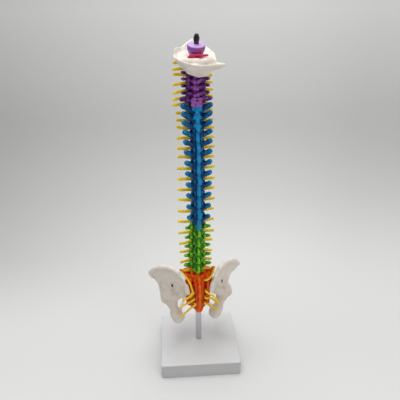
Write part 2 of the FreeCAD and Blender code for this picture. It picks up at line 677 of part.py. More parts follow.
def brain_stem():
    neck, wide, high = stem_neck_radius, stem_top_radius, stem_height
    rows = [(neck - 0.3, -0.6), (neck, 1.2), (wide * 0.66, high * 0.22), (wide * 0.86, high * 0.42),
            (wide * 0.98, high * 0.66), (wide, high * 0.90), (wide - 0.8, high)]
    points = [Vector(r, 0, z) for r, z in rows]
    side = Part.BSplineCurve()
    side.interpolate(Points=points[:-1])
    edges = [side.toShape(), Part.makeLine(points[-2], points[-1]),
             Part.makeLine(points[-1], Vector(0, 0, high)), Part.makeLine(Vector(0, 0, high), Vector(0, 0, -0.6)),
             Part.makeLine(Vector(0, 0, -0.6), points[0])]
    solid = Part.Face(Part.Wire(edges)).revolve(origin, axis_z, 360)
    collar = Part.makeCylinder(stem_collar[0] / 2, stem_collar[1], Vector(0, 0, high))
    solid = fused([solid, collar])
    solid = solid.cut(Part.makeCylinder(core_diameter / 2 + fit_gap, 60, Vector(0, 0, -20)))
    return placed(solid, frame_at(head_station))


def arteries():
    r = artery_diameter / 2
    wide, high = stem_top_radius, stem_height
    back = -wide * 0.95 - r - 0.3
    trunk = limb(Vector(1.2, back, high * 0.46), Vector(1.4, back - 0.5, high * 0.90), [r, r, r * 0.8], 1.0, 1.0, axis_x)
    left = limb(Vector(2.4, back, high * 0.46), Vector(-8.2, back + 1.4, high * 0.46), [r, r, r])
    hook = limb(Vector(-7.2, back + 1.3, high * 0.46), Vector(-9.6, back + 1.8, high * 0.24), [r, r, r * 0.8], up=axis_y)
    right = limb(Vector(0.0, back, high * 0.46), Vector(12.4, back + 3.4, high * 0.42), [r, r, r * 0.85])
    dip = limb(Vector(-7.0, back + 1.2, high * 0.46), Vector(-1.4, back - 0.2, high * 0.24), [r * 0.9, r * 0.8, r * 0.8])
    rise = limb(Vector(-2.4, back - 0.2, high * 0.25), Vector(4.6, back, high * 0.40), [r * 0.8, r * 0.8, r * 0.9])
    return placed(fused([trunk, left, hook, right, dip, rise]), frame_at(head_station))


# Sagittal slices of the occipital bone from its left tip to its right wing, each with its
# x, near rim, lowest point, seat over the atlas (start, end, height) and far rim
skull_slices = [(-26.6, (-10.0, 6.6), (-8.8, 3.8), (-6.6, -2.4, 3.7), (2.0, 6.8)),
                (-21.5, (-15.8, 4.6), (-12.8, -3.4), (-8.6, 3.0, -0.5), (13.0, 6.4)),
                (-14.0, (-20.8, 2.8), (-16.6, -9.4), (-9.6, 3.0, -0.7), (18.6, 4.8)),
                (-7.0, (-23.6, 1.7), (-19.0, -13.0), (-9.6, 3.0, -0.7), (25.2, 8.0)),
                (0.0, (-24.9, 1.1), (-20.2, -14.8), (-9.6, 3.0, -0.7), (29.4, 10.2)),
                (7.0, (-24.9, 0.9), (-20.0, -14.4), (-9.6, 3.0, -0.7), (28.8, 9.8)),
                (11.0, (-24.3, 0.9), (-18.9, -9.8), (-9.6, 3.0, -0.7), (26.4, 6.8)),
                (16.0, (-22.9, 1.0), (-18.2, -8.2), (-9.6, 3.0, -0.7), (22.6, 3.0)),
                (22.0, (-20.6, 0.5), (-17.6, -7.3), (-10.6, 2.0, -1.3), (13.0, -0.2)),
                (30.8, (-16.2, -1.6), (-15.0, -5.3), (-13.2, -11.2, -5.0), (-8.6, -2.4))]


def skull_slice(row):
    x, (near, rim), (low, deep), (seat, seat_end, floor), (away, lip) = row
    outer = [(near, rim), (near - 0.7, rim + 0.35 * (deep - rim)), (near + 0.3 * (low - near), rim + 0.8 * (deep - rim)),
             (low, deep), (low + 0.5 * (seat - low), deep + 0.24 * (floor - deep)),
             (low + 0.82 * (seat - low), deep + 0.66 * (floor - deep)), (seat, floor), (seat_end, floor),
             (seat_end + 0.55 * (away - seat_end), floor + 0.28 * (lip - floor)), (away, lip)]
    outer = [Vector(x, y, z) for y, z in outer]
    wall = skull_wall * (0.55 if row in (skull_slices[0], skull_slices[-1]) else 1.0)
    inner = []
    for i, p in enumerate(outer):
        before, after = outer[max(i - 1, 0)], outer[min(i + 1, len(outer) - 1)]
        run = (after - before).normalize()
        inner.append(p + Vector(0, -run.z, run.y) * wall)
    return closed_outline(outer + inner[::-1])


def occipital_bone():
    solid = Part.makeLoft([skull_slice(row) for row in skull_slices], True, True)
    half = blend(arch_half["cervical"], 1)
    condyle = Part.makeCylinder(3.2, 1.6, Vector(half + 0.6, 1.6, -1.2))
    solid = fused([solid, condyle, mirrored(condyle)])
    solid = solid.cut(Part.makeCylinder(foramen_radius, 60, Vector(0, 0, -30)))
    return placed(solid, frame_at(head_station))


def cap_nut():
    hexagon = Part.Face(oval(0, nut_across / 2 / math.cos(math.pi / 6), nut_across / 2 / math.cos(math.pi / 6), 6))
    nut = hexagon.extrude(Vector(nut_height * 0.52, 0, 0))
    chamfer = Part.makeCone(nut_across * 0.52, nut_across * 0.66, 1.6, Vector(-0.01, 0, 0), axis_x)
    trim = Part.makeCylinder(nut_across * 0.66, nut_height * 0.52 - 1.5, Vector(1.58, 0, 0), axis_x)
    nut = nut.common(fused([chamfer, trim]))
    dome_radius = nut_across * 0.46
    neck = nut_height - dome_radius
    dome = Part.makeSphere(dome_radius, Vector(neck, 0, 0))
    collar = Part.makeCylinder(dome_radius, neck - nut_height * 0.3, Vector(nut_height * 0.3, 0, 0), axis_x)
    upper = Part.makeBox(far, far, far, Vector(nut_height * 0.3, -far / 2, -far / 2))
    nut = fused([nut, collar, dome.common(upper)])
    nut = nut.cut(Part.makeCylinder(core_diameter / 2, nut_height - 2.2, Vector(0, 0, 0), axis_x))
    nut = placed(nut, FreeCAD.Placement(Vector(0, 0, stem_height + stem_collar[1]),
                                        FreeCAD.Rotation(axis_x, axis_z)))
    return placed(nut, frame_at(head_station))


save("base_board", base_board(), False)
save("support_rod", support_rod())
save("sacrum", sacrum())
right_hip = hip_bone()
save("hip_bone_right", right_hip)
save("hip_bone_left", mirrored(right_hip))
save("pubic_disc", pubic_disc())
save("hip_screws", hip_screws())
save("sacral_roots", sacral_roots())
save("brain_stem", brain_stem())
save("arteries", arteries())
save("occipital_bone", occipital_bone())
save("cap_nut", cap_nut())
save("cord_and_roots", cord_and_roots())

settled = None
for name in levels:
    if name == "c1":
        shape = atlas()
    elif name[0] == "l":
        shape = lumbar_vertebra(name)
    elif name[0] == "t":
        shape = thoracic_vertebra(name)
    else:
        shape = cervical_vertebra(name)
    label = {"c1": "atlas_c1", "c2": "axis_c2"}.get(name, "vertebra_" + name)
    shape = placed(shape, frame_at(stations[name][0])).cut(root_channels(name))
    if settled:
        shape = shape.cut([settled, settled.translated(Vector(0, 0, facet_gap))])
    save(label, shape)
    settled = shape
below = "s1"
for name in levels[:-1]:
    save("disc_%s_%s" % (name, below), disc_between(below, name))
    below = name
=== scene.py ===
import json
import math

import bpy
import numpy as np
import openvdb as vdb
from mathutils import Matrix, Vector


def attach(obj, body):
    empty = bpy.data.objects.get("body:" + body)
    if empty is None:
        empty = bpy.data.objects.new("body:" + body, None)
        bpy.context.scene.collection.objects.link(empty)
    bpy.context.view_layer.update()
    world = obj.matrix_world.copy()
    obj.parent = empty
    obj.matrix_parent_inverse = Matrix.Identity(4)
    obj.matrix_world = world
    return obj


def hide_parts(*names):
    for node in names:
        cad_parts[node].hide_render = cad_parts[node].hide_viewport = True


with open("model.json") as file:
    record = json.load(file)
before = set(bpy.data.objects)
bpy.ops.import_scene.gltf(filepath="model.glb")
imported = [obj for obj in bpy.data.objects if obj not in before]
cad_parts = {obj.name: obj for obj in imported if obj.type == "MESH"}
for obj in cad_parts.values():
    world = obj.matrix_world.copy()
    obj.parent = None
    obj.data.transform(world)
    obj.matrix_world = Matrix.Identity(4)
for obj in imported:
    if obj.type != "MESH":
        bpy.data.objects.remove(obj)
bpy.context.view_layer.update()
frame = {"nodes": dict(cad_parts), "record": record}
nodes = frame["nodes"]
mm = 0.001


def placed(name, data):
    thing = bpy.data.objects.new(name, data)
    bpy.context.scene.collection.objects.link(thing)
    return thing


cameraPlace = {
    "spot": (-0.02921, -0.51929, 0.46834), "aim": (0.00394, 0.0, 0.24582), "roll": -0.541,
    "lens": 38.97, "sensor": 36, "clip": (0.02, 20)
}


def makeCamera(place):
    data = bpy.data.cameras.new("stillCamera")
    data.lens = place["lens"]
    data.sensor_width = place["sensor"]
    data.clip_start, data.clip_end = place["clip"]
    camera = placed("stillCamera", data)
    ahead = (Vector(place["aim"]) - Vector(place["spot"])).normalized()
    right = ahead.cross(Vector((0, 0, 1))).normalized()
    up = right.cross(ahead)
    roll = math.radians(place["roll"])
    across = right * math.cos(roll) + up * math.sin(roll)
    upward = up * math.cos(roll) - right * math.sin(roll)
    turn = Matrix((across, upward, -ahead)).transposed().to_4x4()
    camera.matrix_world = Matrix.Translation(place["spot"]) @ turn
    bpy.context.scene.camera = camera


makeCamera(cameraPlace)

# Powers in watts, places in metres; depth and sideways are (place, tone) stops of the paper's painted shade
studio = {
    "topPower": 16.5, "topSize": 1.3, "topSpot": (-0.10, 0.10, 1.50), "topAim": (0, 0, 0.1),
    "sidePower": 2.4, "sideSize": 0.8, "sideSpot": (0.70, -0.90, 0.80), "sideAim": (0, 0, 0.25),
    "world": 0.37, "floor": (0.86, 0.86, 0.85), "roughness": 0.9, "specular": 0.1,
    "depth": ((-0.10, 0.97), (0.0, 0.93), (0.12, 0.96), (0.30, 0.88), (0.575, 0.77), (1.05, 0.77),
              (1.5, 0.81)),
    "sideways": ((-0.45, 0.70), (-0.32, 0.78), (-0.16, 0.87), (0.0, 0.93), (0.16, 0.97),
                 (0.32, 0.95), (0.45, 0.90)),
    "fanShift": 0.03, "fanFront": 0.55, "fanLeast": 0.1, "nearTone": 0.88, "nearRange": (0.0, 0.34),
    "glow": 0.20, "glowRange": (0.2, 2.0), "wallGlow": 0.26, "wallRange": (0.0, 0.5)
}


def makeLamp(name, spot, aim, size, power):
    data = bpy.data.lights.new(name, "AREA")
    data.shape = "DISK"
    data.size, data.energy = size, power
    lamp = placed(name, data)
    lamp.location = spot
    lamp.rotation_euler = (Vector(aim) - Vector(spot)).to_track_quat("-Z", "Y").to_euler()


makeLamp("softBoxTop", studio["topSpot"], studio["topAim"], studio["topSize"], studio["topPower"])
makeLamp("softBoxSide", studio["sideSpot"], studio["sideAim"], studio["sideSize"], studio["sidePower"])
world = bpy.data.worlds.new("studioWorld")
bpy.context.scene.world = world
world.use_nodes = True
world.node_tree.nodes["Background"].inputs["Color"].default_value = (1, 1, 1, 1)
world.node_tree.nodes["Background"].inputs["Strength"].default_value = studio["world"]
bpy.context.scene.view_settings.view_transform = "Standard"


def setInputs(node, values):
    for key, value in values:
        node.inputs[key].default_value = value


# Each row is a node and its output, then a node and its input
def wire(link, rows):
    for source, output, target, taken in rows:
        link(source.outputs[output], target.inputs[taken])


def mapRange(n, start, end, low=0.0, high=1.0):
    node = n.new("ShaderNodeMapRange")
    setInputs(node, (("From Min", start), ("From Max", end), ("To Min", low), ("To Max", high)))
    return node


def newMaterial(name):
    material = bpy.data.materials.new(name)
    material.use_nodes = True
    tree = material.node_tree
    return material, tree.nodes, tree.links.new, tree.nodes["Principled BSDF"]


# Noises are (scale, detail); the ranges say which ridge values turn from the painted shade of hollows to body
# to the painted highlight of crests
toneForm = {
    "cloud": (110, 4), "grain": (1300, 2), "hollowShadeRange": (0.16, 0.52), "crestHighlightRange": (0.58, 0.98),
    "roughSpread": 0.18, "bump": 0.25, "bumpDepth": 0.0004, "coatRoughness": 0.25,
    "subsurfaceScale": 0.002
}


def toneGroup():
    # One colour effect for every painted casting: darker hollows as painted shade, lighter crests as painted
    # highlight, mottle and fine grain
    group = bpy.data.node_groups.new("castingTone", "ShaderNodeTree")
    face = group.interface
    for name in ("Shaded Hollow", "Body", "Lit Crest"):
        face.new_socket(name, in_out="INPUT", socket_type="NodeSocketColor")
    for name in ("Mottle", "Gloss", "Grain"):
        face.new_socket(name, in_out="INPUT", socket_type="NodeSocketFloat")
    face.new_socket("Colour", in_out="OUTPUT", socket_type="NodeSocketColor")
    for name in ("Roughness", "Height"):
        face.new_socket(name, in_out="OUTPUT", socket_type="NodeSocketFloat")
    n, link = group.nodes, group.links.new
    given, out = n.new("NodeGroupInput"), n.new("NodeGroupOutput")
    place = n.new("ShaderNodeTexCoord")
    ridge = n.new("ShaderNodeAttribute")
    ridge.attribute_name = "ridge"
    cloud, grain = n.new("ShaderNodeTexNoise"), n.new("ShaderNodeTexNoise")
    for noise, (scale, detail) in ((cloud, toneForm["cloud"]), (grain, toneForm["grain"])):
        setInputs(noise, (("Scale", scale), ("Detail", detail)))
    sway = n.new("ShaderNodeMath")
    sway.operation = "MULTIPLY_ADD"
    low, high = mapRange(n, *toneForm["hollowShadeRange"]), mapRange(n, *toneForm["crestHighlightRange"])
    first, second = n.new("ShaderNodeMix"), n.new("ShaderNodeMix")
    first.data_type = second.data_type = "RGBA"
    rough = n.new("ShaderNodeMath")
    rough.operation = "MULTIPLY_ADD"
    rough.inputs[1].default_value = toneForm["roughSpread"]
    height = n.new("ShaderNodeMath")
    height.operation = "MULTIPLY"
    wire(link, (
        (place, "Object", cloud, "Vector"), (place, "Object", grain, "Vector"), (cloud, "Fac", sway, 0),
        (given, "Mottle", sway, 1), (ridge, "Fac", sway, 2), (sway, 0, low, "Value"),
        (sway, 0, high, "Value"), (low, "Result", first, "Factor"),
        (given, "Shaded Hollow", first, "A"), (given, "Body", first, "B"),
        (high, "Result", second, "Factor"), (first, "Result", second, "A"), (given, "Lit Crest", second, "B"),
        (cloud, "Fac", rough, 0), (given, "Gloss", rough, 2), (grain, "Fac", height, 0),
        (given, "Grain", height, 1), (second, "Result", out, "Colour"), (rough, 0, out, "Roughness"),
        (height, 0, out, "Height")))
    return group


castingTone = toneGroup()


def toned(name, hollow, body, crest, mottle=0.3, gloss=0.3, grain=0.4, coat=0.0, specular=0.4,
          subsurface=0.0):
    material, n, link, shader = newMaterial(name)
    tone = n.new("ShaderNodeGroup")
    tone.node_tree = castingTone
    setInputs(tone, (("Shaded Hollow", (*hollow, 1)), ("Body", (*body, 1)), ("Lit Crest", (*crest, 1)),
                     ("Mottle", mottle), ("Gloss", gloss), ("Grain", grain)))
    bump = n.new("ShaderNodeBump")
    setInputs(bump, (("Strength", toneForm["bump"]), ("Distance", toneForm["bumpDepth"])))
    wire(link, ((tone, "Colour", shader, "Base Color"), (tone, "Roughness", shader, "Roughness"),
                (tone, "Height", bump, "Height"), (bump, "Normal", shader, "Normal")))
    setInputs(shader, (("Coat Weight", coat), ("Coat Roughness", toneForm["coatRoughness"]),
                       ("Specular IOR Level", specular), ("Subsurface Weight", subsurface),
                       ("Subsurface Scale", toneForm["subsurfaceScale"])))
    return material


# Each paint's hollow colour is painted shade for recesses and its crest colour painted highlight for ridges
paint = {
    "cervical": toned("purplePaint", (0.010, 0.001, 0.016), (0.085, 0.013, 0.130), (0.42, 0.13, 0.50),
                      mottle=0.85, gloss=0.3, coat=0.06, specular=0.16),
    "thoracic": toned("bluePaint", (0.0005, 0.009, 0.036), (0.0008, 0.044, 0.160), (0.008, 0.27, 0.56),
                      mottle=0.45, gloss=0.26, coat=0.07, specular=0.16),
    "lumbar": toned("greenPaint", (0.004, 0.040, 0.002), (0.040, 0.215, 0.006), (0.19, 0.62, 0.025),
                    mottle=0.45, gloss=0.28, coat=0.06, specular=0.16),
    "sacral": toned("orangePaint", (0.14, 0.003, 0.001), (0.56, 0.027, 0.002), (0.88, 0.15, 0.006),
                    mottle=0.55, gloss=0.3, coat=0.06, specular=0.16),
    "bone": toned("ivoryCasting", (0.42, 0.32, 0.235), (0.72, 0.64, 0.55), (0.86, 0.81, 0.75),
                  mottle=0.42, gloss=0.34, subsurface=0.08),
    "nerve": toned("yellowCasting", (0.40, 0.19, 0.002), (0.86, 0.52, 0.005), (0.95, 0.76, 0.03),
                   mottle=0.4, gloss=0.30, specular=0.25),
    "artery": toned("crimsonCasting", (0.20, 0.004, 0.03), (0.62, 0.012, 0.10), (0.80, 0.06, 0.22),
                    gloss=0.28),
    # Discs carry no ridge value and show mostly the dark hollow colour, painted shade for the gaps between
    # vertebrae
    "disc": toned("discCasting", (0.08, 0.08, 0.078), (0.50, 0.50, 0.46), (0.66, 0.66, 0.62), gloss=0.4),
    "board": toned("boardLaminate", (0.68, 0.682, 0.688), (0.71, 0.712, 0.72), (0.74, 0.742, 0.75),
                   mottle=0.10, gloss=0.22, grain=0.3),
    # Near black as painted reflection: the chrome cap nut's dark reflections laid on as its colour
    "nut": toned("blackCap", (0.004, 0.004, 0.004), (0.008, 0.008, 0.008), (0.02, 0.02, 0.02), gloss=0.16),
}

# Fine lines along the rod vary the roughness by the spread
metalForm = {"stretch": (900, 900, 14), "scale": 1.0, "spread": 0.14}


def metal(name, colour, roughness):
    material, n, link, shader = newMaterial(name)
    setInputs(shader, (("Base Color", (*colour, 1)), ("Metallic", 1.0)))
    place = n.new("ShaderNodeTexCoord")
    stretch = n.new("ShaderNodeMapping")
    stretch.inputs["Scale"].default_value = metalForm["stretch"]
    lines = n.new("ShaderNodeTexNoise")
    lines.inputs["Scale"].default_value = metalForm["scale"]
    spread = mapRange(n, 0.0, 1.0, roughness, roughness + metalForm["spread"])
    wire(link, ((place, "Object", stretch, "Vector"), (stretch, "Vector", lines, "Vector"),
                (lines, "Fac", spread, "Value"), (spread, "Result", shader, "Roughness")))
    return material


# Painted shade: faces that don't look upward keep only a share of the paint's brightness
edgeForm = {"share": 0.82, "upright": (0.3, 0.9)}


def edgeShade(material):
    n, link = material.node_tree.nodes, material.node_tree.links.new
    shader = n["Principled BSDF"]
    facing = n.new("ShaderNodeTexCoord")
    split = n.new("ShaderNodeSeparateXYZ")
    mask = mapRange(n, *edgeForm["upright"], edgeForm["share"], 1.0)
    mix = n.new("ShaderNodeMix")
    mix.data_type = "RGBA"
    mix.inputs["A"].default_value = (0, 0, 0, 1)
    wire(link, ((facing, "Normal", split, "Vector"), (split, "Z", mask, "Value"),
                (mask, "Result", mix, "Factor")))
    link(shader.inputs["Base Color"].links[0].from_socket, mix.inputs["B"])
    link(mix.outputs["Result"], shader.inputs["Base Color"])


edgeShade(paint["board"])
paint["rod"] = metal("brightTube", (0.58, 0.59, 0.60), 0.16)
paint["screw"] = metal("dullScrew", (0.05, 0.048, 0.045), 0.5)
print("materials made")


# A piece is a block of distances in millimetres: read from its solid, softened, shaped and skinned
def pointsOf(mesh):
    co = np.empty(len(mesh.vertices) * 3, np.float32)
    mesh.vertices.foreach_get("co", co)
    return co.reshape(-1, 3) / mm


def soupOf(names):
    points, faces, start = [], [], 0
    for name in names:
        mesh = nodes[name].data
        mesh.calc_loop_triangles()
        corners = np.empty(len(mesh.loop_triangles) * 3, np.int32)
        mesh.loop_triangles.foreach_get("vertices", corners)
        points.append(pointsOf(mesh))
        faces.append(corners.reshape(-1, 3) + start)
        start += len(mesh.vertices)
    return np.concatenate(points), np.concatenate(faces)


def readField(names, step, pad=8, band=6):
    points, faces = soupOf(names)
    grid = vdb.FloatGrid.createLevelSetFromPolygons(points, triangles=faces.astype(np.uint32),
                                                    transform=vdb.createLinearTransform(voxelSize=step),
                                                    halfWidth=band)
    low = np.floor(points.min(0) / step).astype(int) - pad
    high = np.ceil(points.max(0) / step).astype(int) + pad
    block = np.empty(high - low + 1, np.float32)
    grid.copyToArray(block, ijk=tuple(int(v) for v in low))
    return block, low


# A Gaussian blur, cut off at 2.2 times its width
def soften(block, sigma, step):
    reach = max(1, int(math.ceil(2.2 * sigma / step)))
    weights = np.exp(-0.5 * (np.arange(-reach, reach + 1) * step / sigma) ** 2)
    weights /= weights.sum()
    for axis in range(3):
        padded = np.pad(block, [(reach, reach) if a == axis else (0, 0) for a in range(3)], mode="edge")
        total = np.zeros_like(block)
        for i, w in enumerate(weights):
            cut = [slice(None)] * 3
            cut[axis] = slice(i, i + block.shape[axis])
            total += w * padded[tuple(cut)]
        block = total
    return block


# Smooth union and smooth cut, rounded over k millimetres
def merge(a, b, k):
    h = np.clip(0.5 + 0.5 * (b - a) / k, 0, 1)
    return b * (1 - h) + a * h - k * h * (1 - h)


def carve(a, b, k):
    return -merge(-a, b, k)


def gridPoints(shape, low, step):
    axes = [(np.arange(shape[i]) + low[i]) * step for i in range(3)]
    return np.stack(np.meshgrid(*axes, indexing="ij"), -1).astype(np.float32)


def sampleAt(block, low, step, points):
    spot = points / step - low
    base = np.clip(np.floor(spot).astype(int), 0, np.array(block.shape) - 2)
    part = spot - base
    total = 0
    for i in (0, 1):
        for j in (0, 1):
            for k in (0, 1):
                weight = np.abs(1 - i - part[:, 0]) * np.abs(1 - j - part[:, 1]) * np.abs(1 - k - part[:, 2])
                total = total + weight * block[base[:, 0] + i, base[:, 1] + j, base[:, 2] + k]
    return total


# The ridge value of a point comes from how much the softened field stands out there; low values are painted
# as shade in hollows, high ones as highlight on crests
ridgeForm = {"sigma": 1.3, "middle": 0.5, "gain": 0.15, "limit": 2.5}


def storeRidge(mesh, shade):
    ridge = mesh.attributes.new("ridge", "FLOAT", "POINT")
    ridge.data.foreach_set("value", np.clip(shade, 0, 1).astype(np.float32))


def skin(name, block, low, step, material, level=0.0, tone=None):
    grid = vdb.FloatGrid(float(block.max()))
    grid.copyFromArray(block, ijk=tuple(int(v) for v in low))
    grid.transform = vdb.createLinearTransform(voxelSize=step)
    grid.gridClass = vdb.GridClass.LEVEL_SET
    points, quads = grid.convertToQuads(isovalue=level)
    curve = sampleAt(soften(block, ridgeForm["sigma"], step), low, step, points)
    curve = (curve - curve.mean()) / (curve.std() + 1e-6)
    shade = ridgeForm["middle"] + ridgeForm["gain"] * np.clip(curve, -ridgeForm["limit"], ridgeForm["limit"])
    if tone is not None:
        shade = tone(shade, points)
    mesh = bpy.data.meshes.new(name)
    mesh.from_pydata((points * mm).tolist(), [], quads.tolist())
    flat = points[quads]
    side = np.cross(flat[:, 1] - flat[:, 0], flat[:, 3] - flat[:, 0])
    if (flat[:, 0] * side).sum() < 0:
        mesh.flip_normals()
    storeRidge(mesh, shade)
    mesh.polygons.foreach_set("use_smooth", [True] * len(mesh.polygons))
    mesh.materials.append(material)
    return placed(name, mesh)


def seat(piece, slot, *replaced):
    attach(piece, "root")
    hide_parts(*replaced)


def cast(name, block, low, step, slot, node, tone=None):
    seat(skin(name, block, low, step, paint[slot], tone=tone), slot, node)


# The line of the canal, as the solids have it: heights, leans and spacing of the vertebrae
canal = {
    "foot": 72.0, "sacral": 65.5, "turn": 6.0, "leans": (0.0, 8.0, -12.0, -1.0, 9.0, 7.0, -17.0),
    "lumbar": ((14.8, 16.4), (3.6, 3.2)), "thoracic": ((16.5, 9.6), (2.8, 1.9)),
    "cervical": ((8.3, 7.9), (1.8, 1.6)), "axis": 7.2, "atlasRise": 6.0, "headRise": 3.2,
    "beyond": 900.0
}
levels = ["l%d" % n for n in range(5, 0, -1)]
levels += ["t%d" % n for n in range(12, 0, -1)]
levels += ["c%d" % n for n in range(7, 0, -1)]
regionOf = {"c": "cervical", "t": "thoracic", "l": "lumbar"}
# Index of a region's lowest level, and steps from it to the level with the region's last value
regionSteps = {"lumbar": (0, 4), "thoracic": (5, 11), "cervical": (17, 4)}


def rankOf(level):
    region = regionOf[level[0]]
    first, steps = regionSteps[region]
    return region, min((levels.index(level) - first) / steps, 1.0)


def between(pair, t):
    return pair[0] + (pair[1] - pair[0]) * t


def spacing():
    middles, shares, climb = {}, {}, canal["sacral"]
    for level in levels[:-1]:
        region, t = rankOf(level)
        share, disc = between(canal[region][0], t), between(canal[region][1], t)
        if level == "c2":
            share = canal["axis"]
        middles[level], shares[level] = climb + disc + (share - disc) / 2, share
        climb += share
    middles["c1"], shares["c1"] = middles["c2"] + canal["atlasRise"], canal["axis"]
    return middles, shares


middleOf, shareOf = spacing()
headStation = middleOf["c1"] + canal["headRise"]
leanStations = (0.0, canal["sacral"]) + tuple(middleOf[level] for level in ("l2", "t9", "t3", "t1", "c1"))


def canalAt(station):
    y, z, lean = 0.0, canal["foot"], 0.0
    marks = list(zip(leanStations, canal["leans"])) + [(canal["beyond"], canal["leans"][-1])]
    for (s0, a0), (s1, a1) in zip(marks, marks[1:]):
        run = min(station, s1) - s0
        lean0, bend = math.radians(a0), math.radians(a1 - a0) / (s1 - s0)
        lean = lean0 + bend * run
        if abs(bend) < 1e-9:
            y = y + run * math.sin(lean0)
            z = z + run * math.cos(lean0)
        else:
            y = y + (math.cos(lean0) - math.cos(lean)) / bend
            z = z + (math.sin(lean) - math.sin(lean0)) / bend
        if station <= s1:
            break
    return y, z, lean


# World millimetres into the frame of a station of the canal, and back
def intoStation(points, station):
    turn = math.radians(canal["turn"])
    x = points[..., 0] * math.cos(turn) + points[..., 1] * math.sin(turn)
    y = points[..., 1] * math.cos(turn) - points[..., 0] * math.sin(turn)
    z = points[..., 2]
    if station is None:
        return np.stack((x, y, z), -1)
    y0, z0, lean = canalAt(station)
    y, z = y - y0, z - z0
    return np.stack((x, y * math.cos(lean) - z * math.sin(lean), y * math.sin(lean) + z * math.cos(lean)), -1)


def outOfStation(points, station):
    points = np.asarray(points, float)
    x, y, z = points[..., 0], points[..., 1], points[..., 2]
    if station is not None:
        y0, z0, lean = canalAt(station)
        y, z = y0 + y * math.cos(lean) + z * math.sin(lean), z0 - y * math.sin(lean) + z * math.cos(lean)
    turn = math.radians(canal["turn"])
    return np.stack((x * math.cos(turn) - y * math.sin(turn), x * math.sin(turn) + y * math.cos(turn), z), -1)


# Distance to a rounded bar with its own radius at each end
def bar(points, start, end, r0, r1, squash=(1, 1, 1)):
    squash = np.array(squash, np.float32)
    start, end = np.array(start, np.float32) / squash, np.array(end, np.float32) / squash
    line = end - start
    away = points / squash - start
    along = np.clip((away @ line) / (line @ line), 0, 1)
    return np.linalg.norm(away - along[..., None] * line, axis=-1) - (r0 + (r1 - r0) * along)


# Bars from each knot to the next, merged into the block or carved out of it
def chain(block, spot, knots, r0, r1, k, mix=merge):
    for start, end in zip(knots, knots[1:]):
        block = mix(block, bar(spot, start, end, r0, r1), k)
    return block


def bothSides(points):
    return np.concatenate((np.abs(points[..., :1]), points[..., 1:]), -1)


def unit(value):
    return np.clip(value, 0, 1)


def bell(value, width):
    return np.exp(-(value / width) ** 2)


# Slow waves that keep a cast surface from looking machined
def waves(points, seed, short, long, count=7):
    rng = np.random.default_rng(seed)
    total = 0
    for _ in range(count):
        way = rng.normal(size=3)
        way *= 2 * math.pi / rng.uniform(short, long) / np.linalg.norm(way)
        total = total + np.sin(points @ way.astype(np.float32) + rng.uniform(0, 6.28))
    return total / math.sqrt(count)


# A node's field, softened, with its points in the world and in the frame of a station
def openBlock(node, step, sigma, station):
    block, low = readField([node], step)
    world = gridPoints(block.shape, low, step)
    return soften(block, sigma, step), low, world, intoStation(world, station)


# How walled in each spot of the column is, for the painted shade that darkens its pockets
def pocketField(names, step=1.5, sigma=2.6):
    block, low = readField(names, step, pad=6, band=3)
    return soften((block < 0).astype(np.float32), sigma, step), low, step


columnNodes = [n for n in nodes if n.startswith("vertebra_") or n in ("atlas_c1", "axis_c2", "sacrum")]
pocket = pocketField(columnNodes + [n for n in nodes if n.startswith("disc_")])

# Pairs run from a region's lowest vertebra to its highest; a level's own value stands for its region's
vertebraForm = {
    "step": 0.55, "sigma": {"lumbar": 0.8, "thoracic": 0.6, "cervical": 0.5},
    "wave": {"lumbar": 0.20, "thoracic": 0.18, "cervical": 0.30}, "waveRange": (2.8, 7.0),
    "spineReach": {"lumbar": (16.0, 16.5), "thoracic": (15.0, 14.0), "cervical": (12.0, 10.0)},
    "knobReach": (13.6, 17.4), "knobRound": (2.9, 3.1), "ropeRound": (2.7, 2.3),
    "veer": 0.8, "veerPace": 2.3, "bore": 4.1, "boreShare": 1.2,
    "sink": {"thoracic": 0.6, "t4": 2.0, "t3": 3.6, "t2": 4.6, "t1": 5.0},
    "broad": {"t3": 2.4, "t2": 3.0, "t1": 3.6}, "armReach": {"cervical": 15.2, "c7": 16.8}
}
# Painted light on the vertebrae: pockets darken as painted shade, crests and the bright levels lighten as
# painted highlight, and the neck's sides and the lumbar strips beside the ridge darken as painted shade
vertebraTone = {
    "base": 0.06, "pocketFrom": 0.44,
    "pocketShadeGain": {"lumbar": 0.7, "thoracic": 1.6, "cervical": 1.6},
    "crestHighlightGain": {"lumbar": 0.50, "thoracic": 0.36, "cervical": 0.16},
    "crestWidth": {"lumbar": 1.5, "thoracic": 2.6, "cervical": 5.0,
                   "t3": 3.6, "t2": 5.0, "t1": 6.0, "c7": 7.0},
    "bright": ("t1", "t2", "t3", "c7"), "brightGain": 1.5,
    "neckShade": 0.30, "neckFrom": {"cervical": 3.0, "c7": 6.0}, "lumbarShade": 0.08
}


def thoracicMass(block, spot, level, t, share, reach):
    form = vertebraForm
    pair = bothSides(spot)
    knob, rope = between(form["knobReach"], t), between(form["ropeRound"], t)
    veer = form["veer"] * math.sin(form["veerPace"] * levels.index(level))
    ridge = bar(spot, (-veer * 0.5, -8.4, share * 0.22), (veer, -reach + 0.8, -share * 0.62), rope,
                rope * 0.86, (1.12, 1, 1))
    block = merge(block, ridge, 1.6)
    sink = form["sink"].get(level, form["sink"]["thoracic"])
    arm = bar(pair, (5.6, -6.6, -sink), (knob - 0.8, -8.6, share * 0.27), 2.4, between(form["knobRound"], t))
    block = merge(block, arm, 1.8)
    arch = bar(pair, (3.4, -7.2, -share * 0.42), (4.2, -7.0, share * 0.40), 2.3, 2.1)
    block = merge(block, arch, 1.8)
    if level in form["broad"]:
        plate = bar(pair, (0.4, -8.6, 2.0), (form["broad"][level], -9.4, -2.0), 2.9, 2.7)
        block = merge(block, plate, 2.2)
    return block


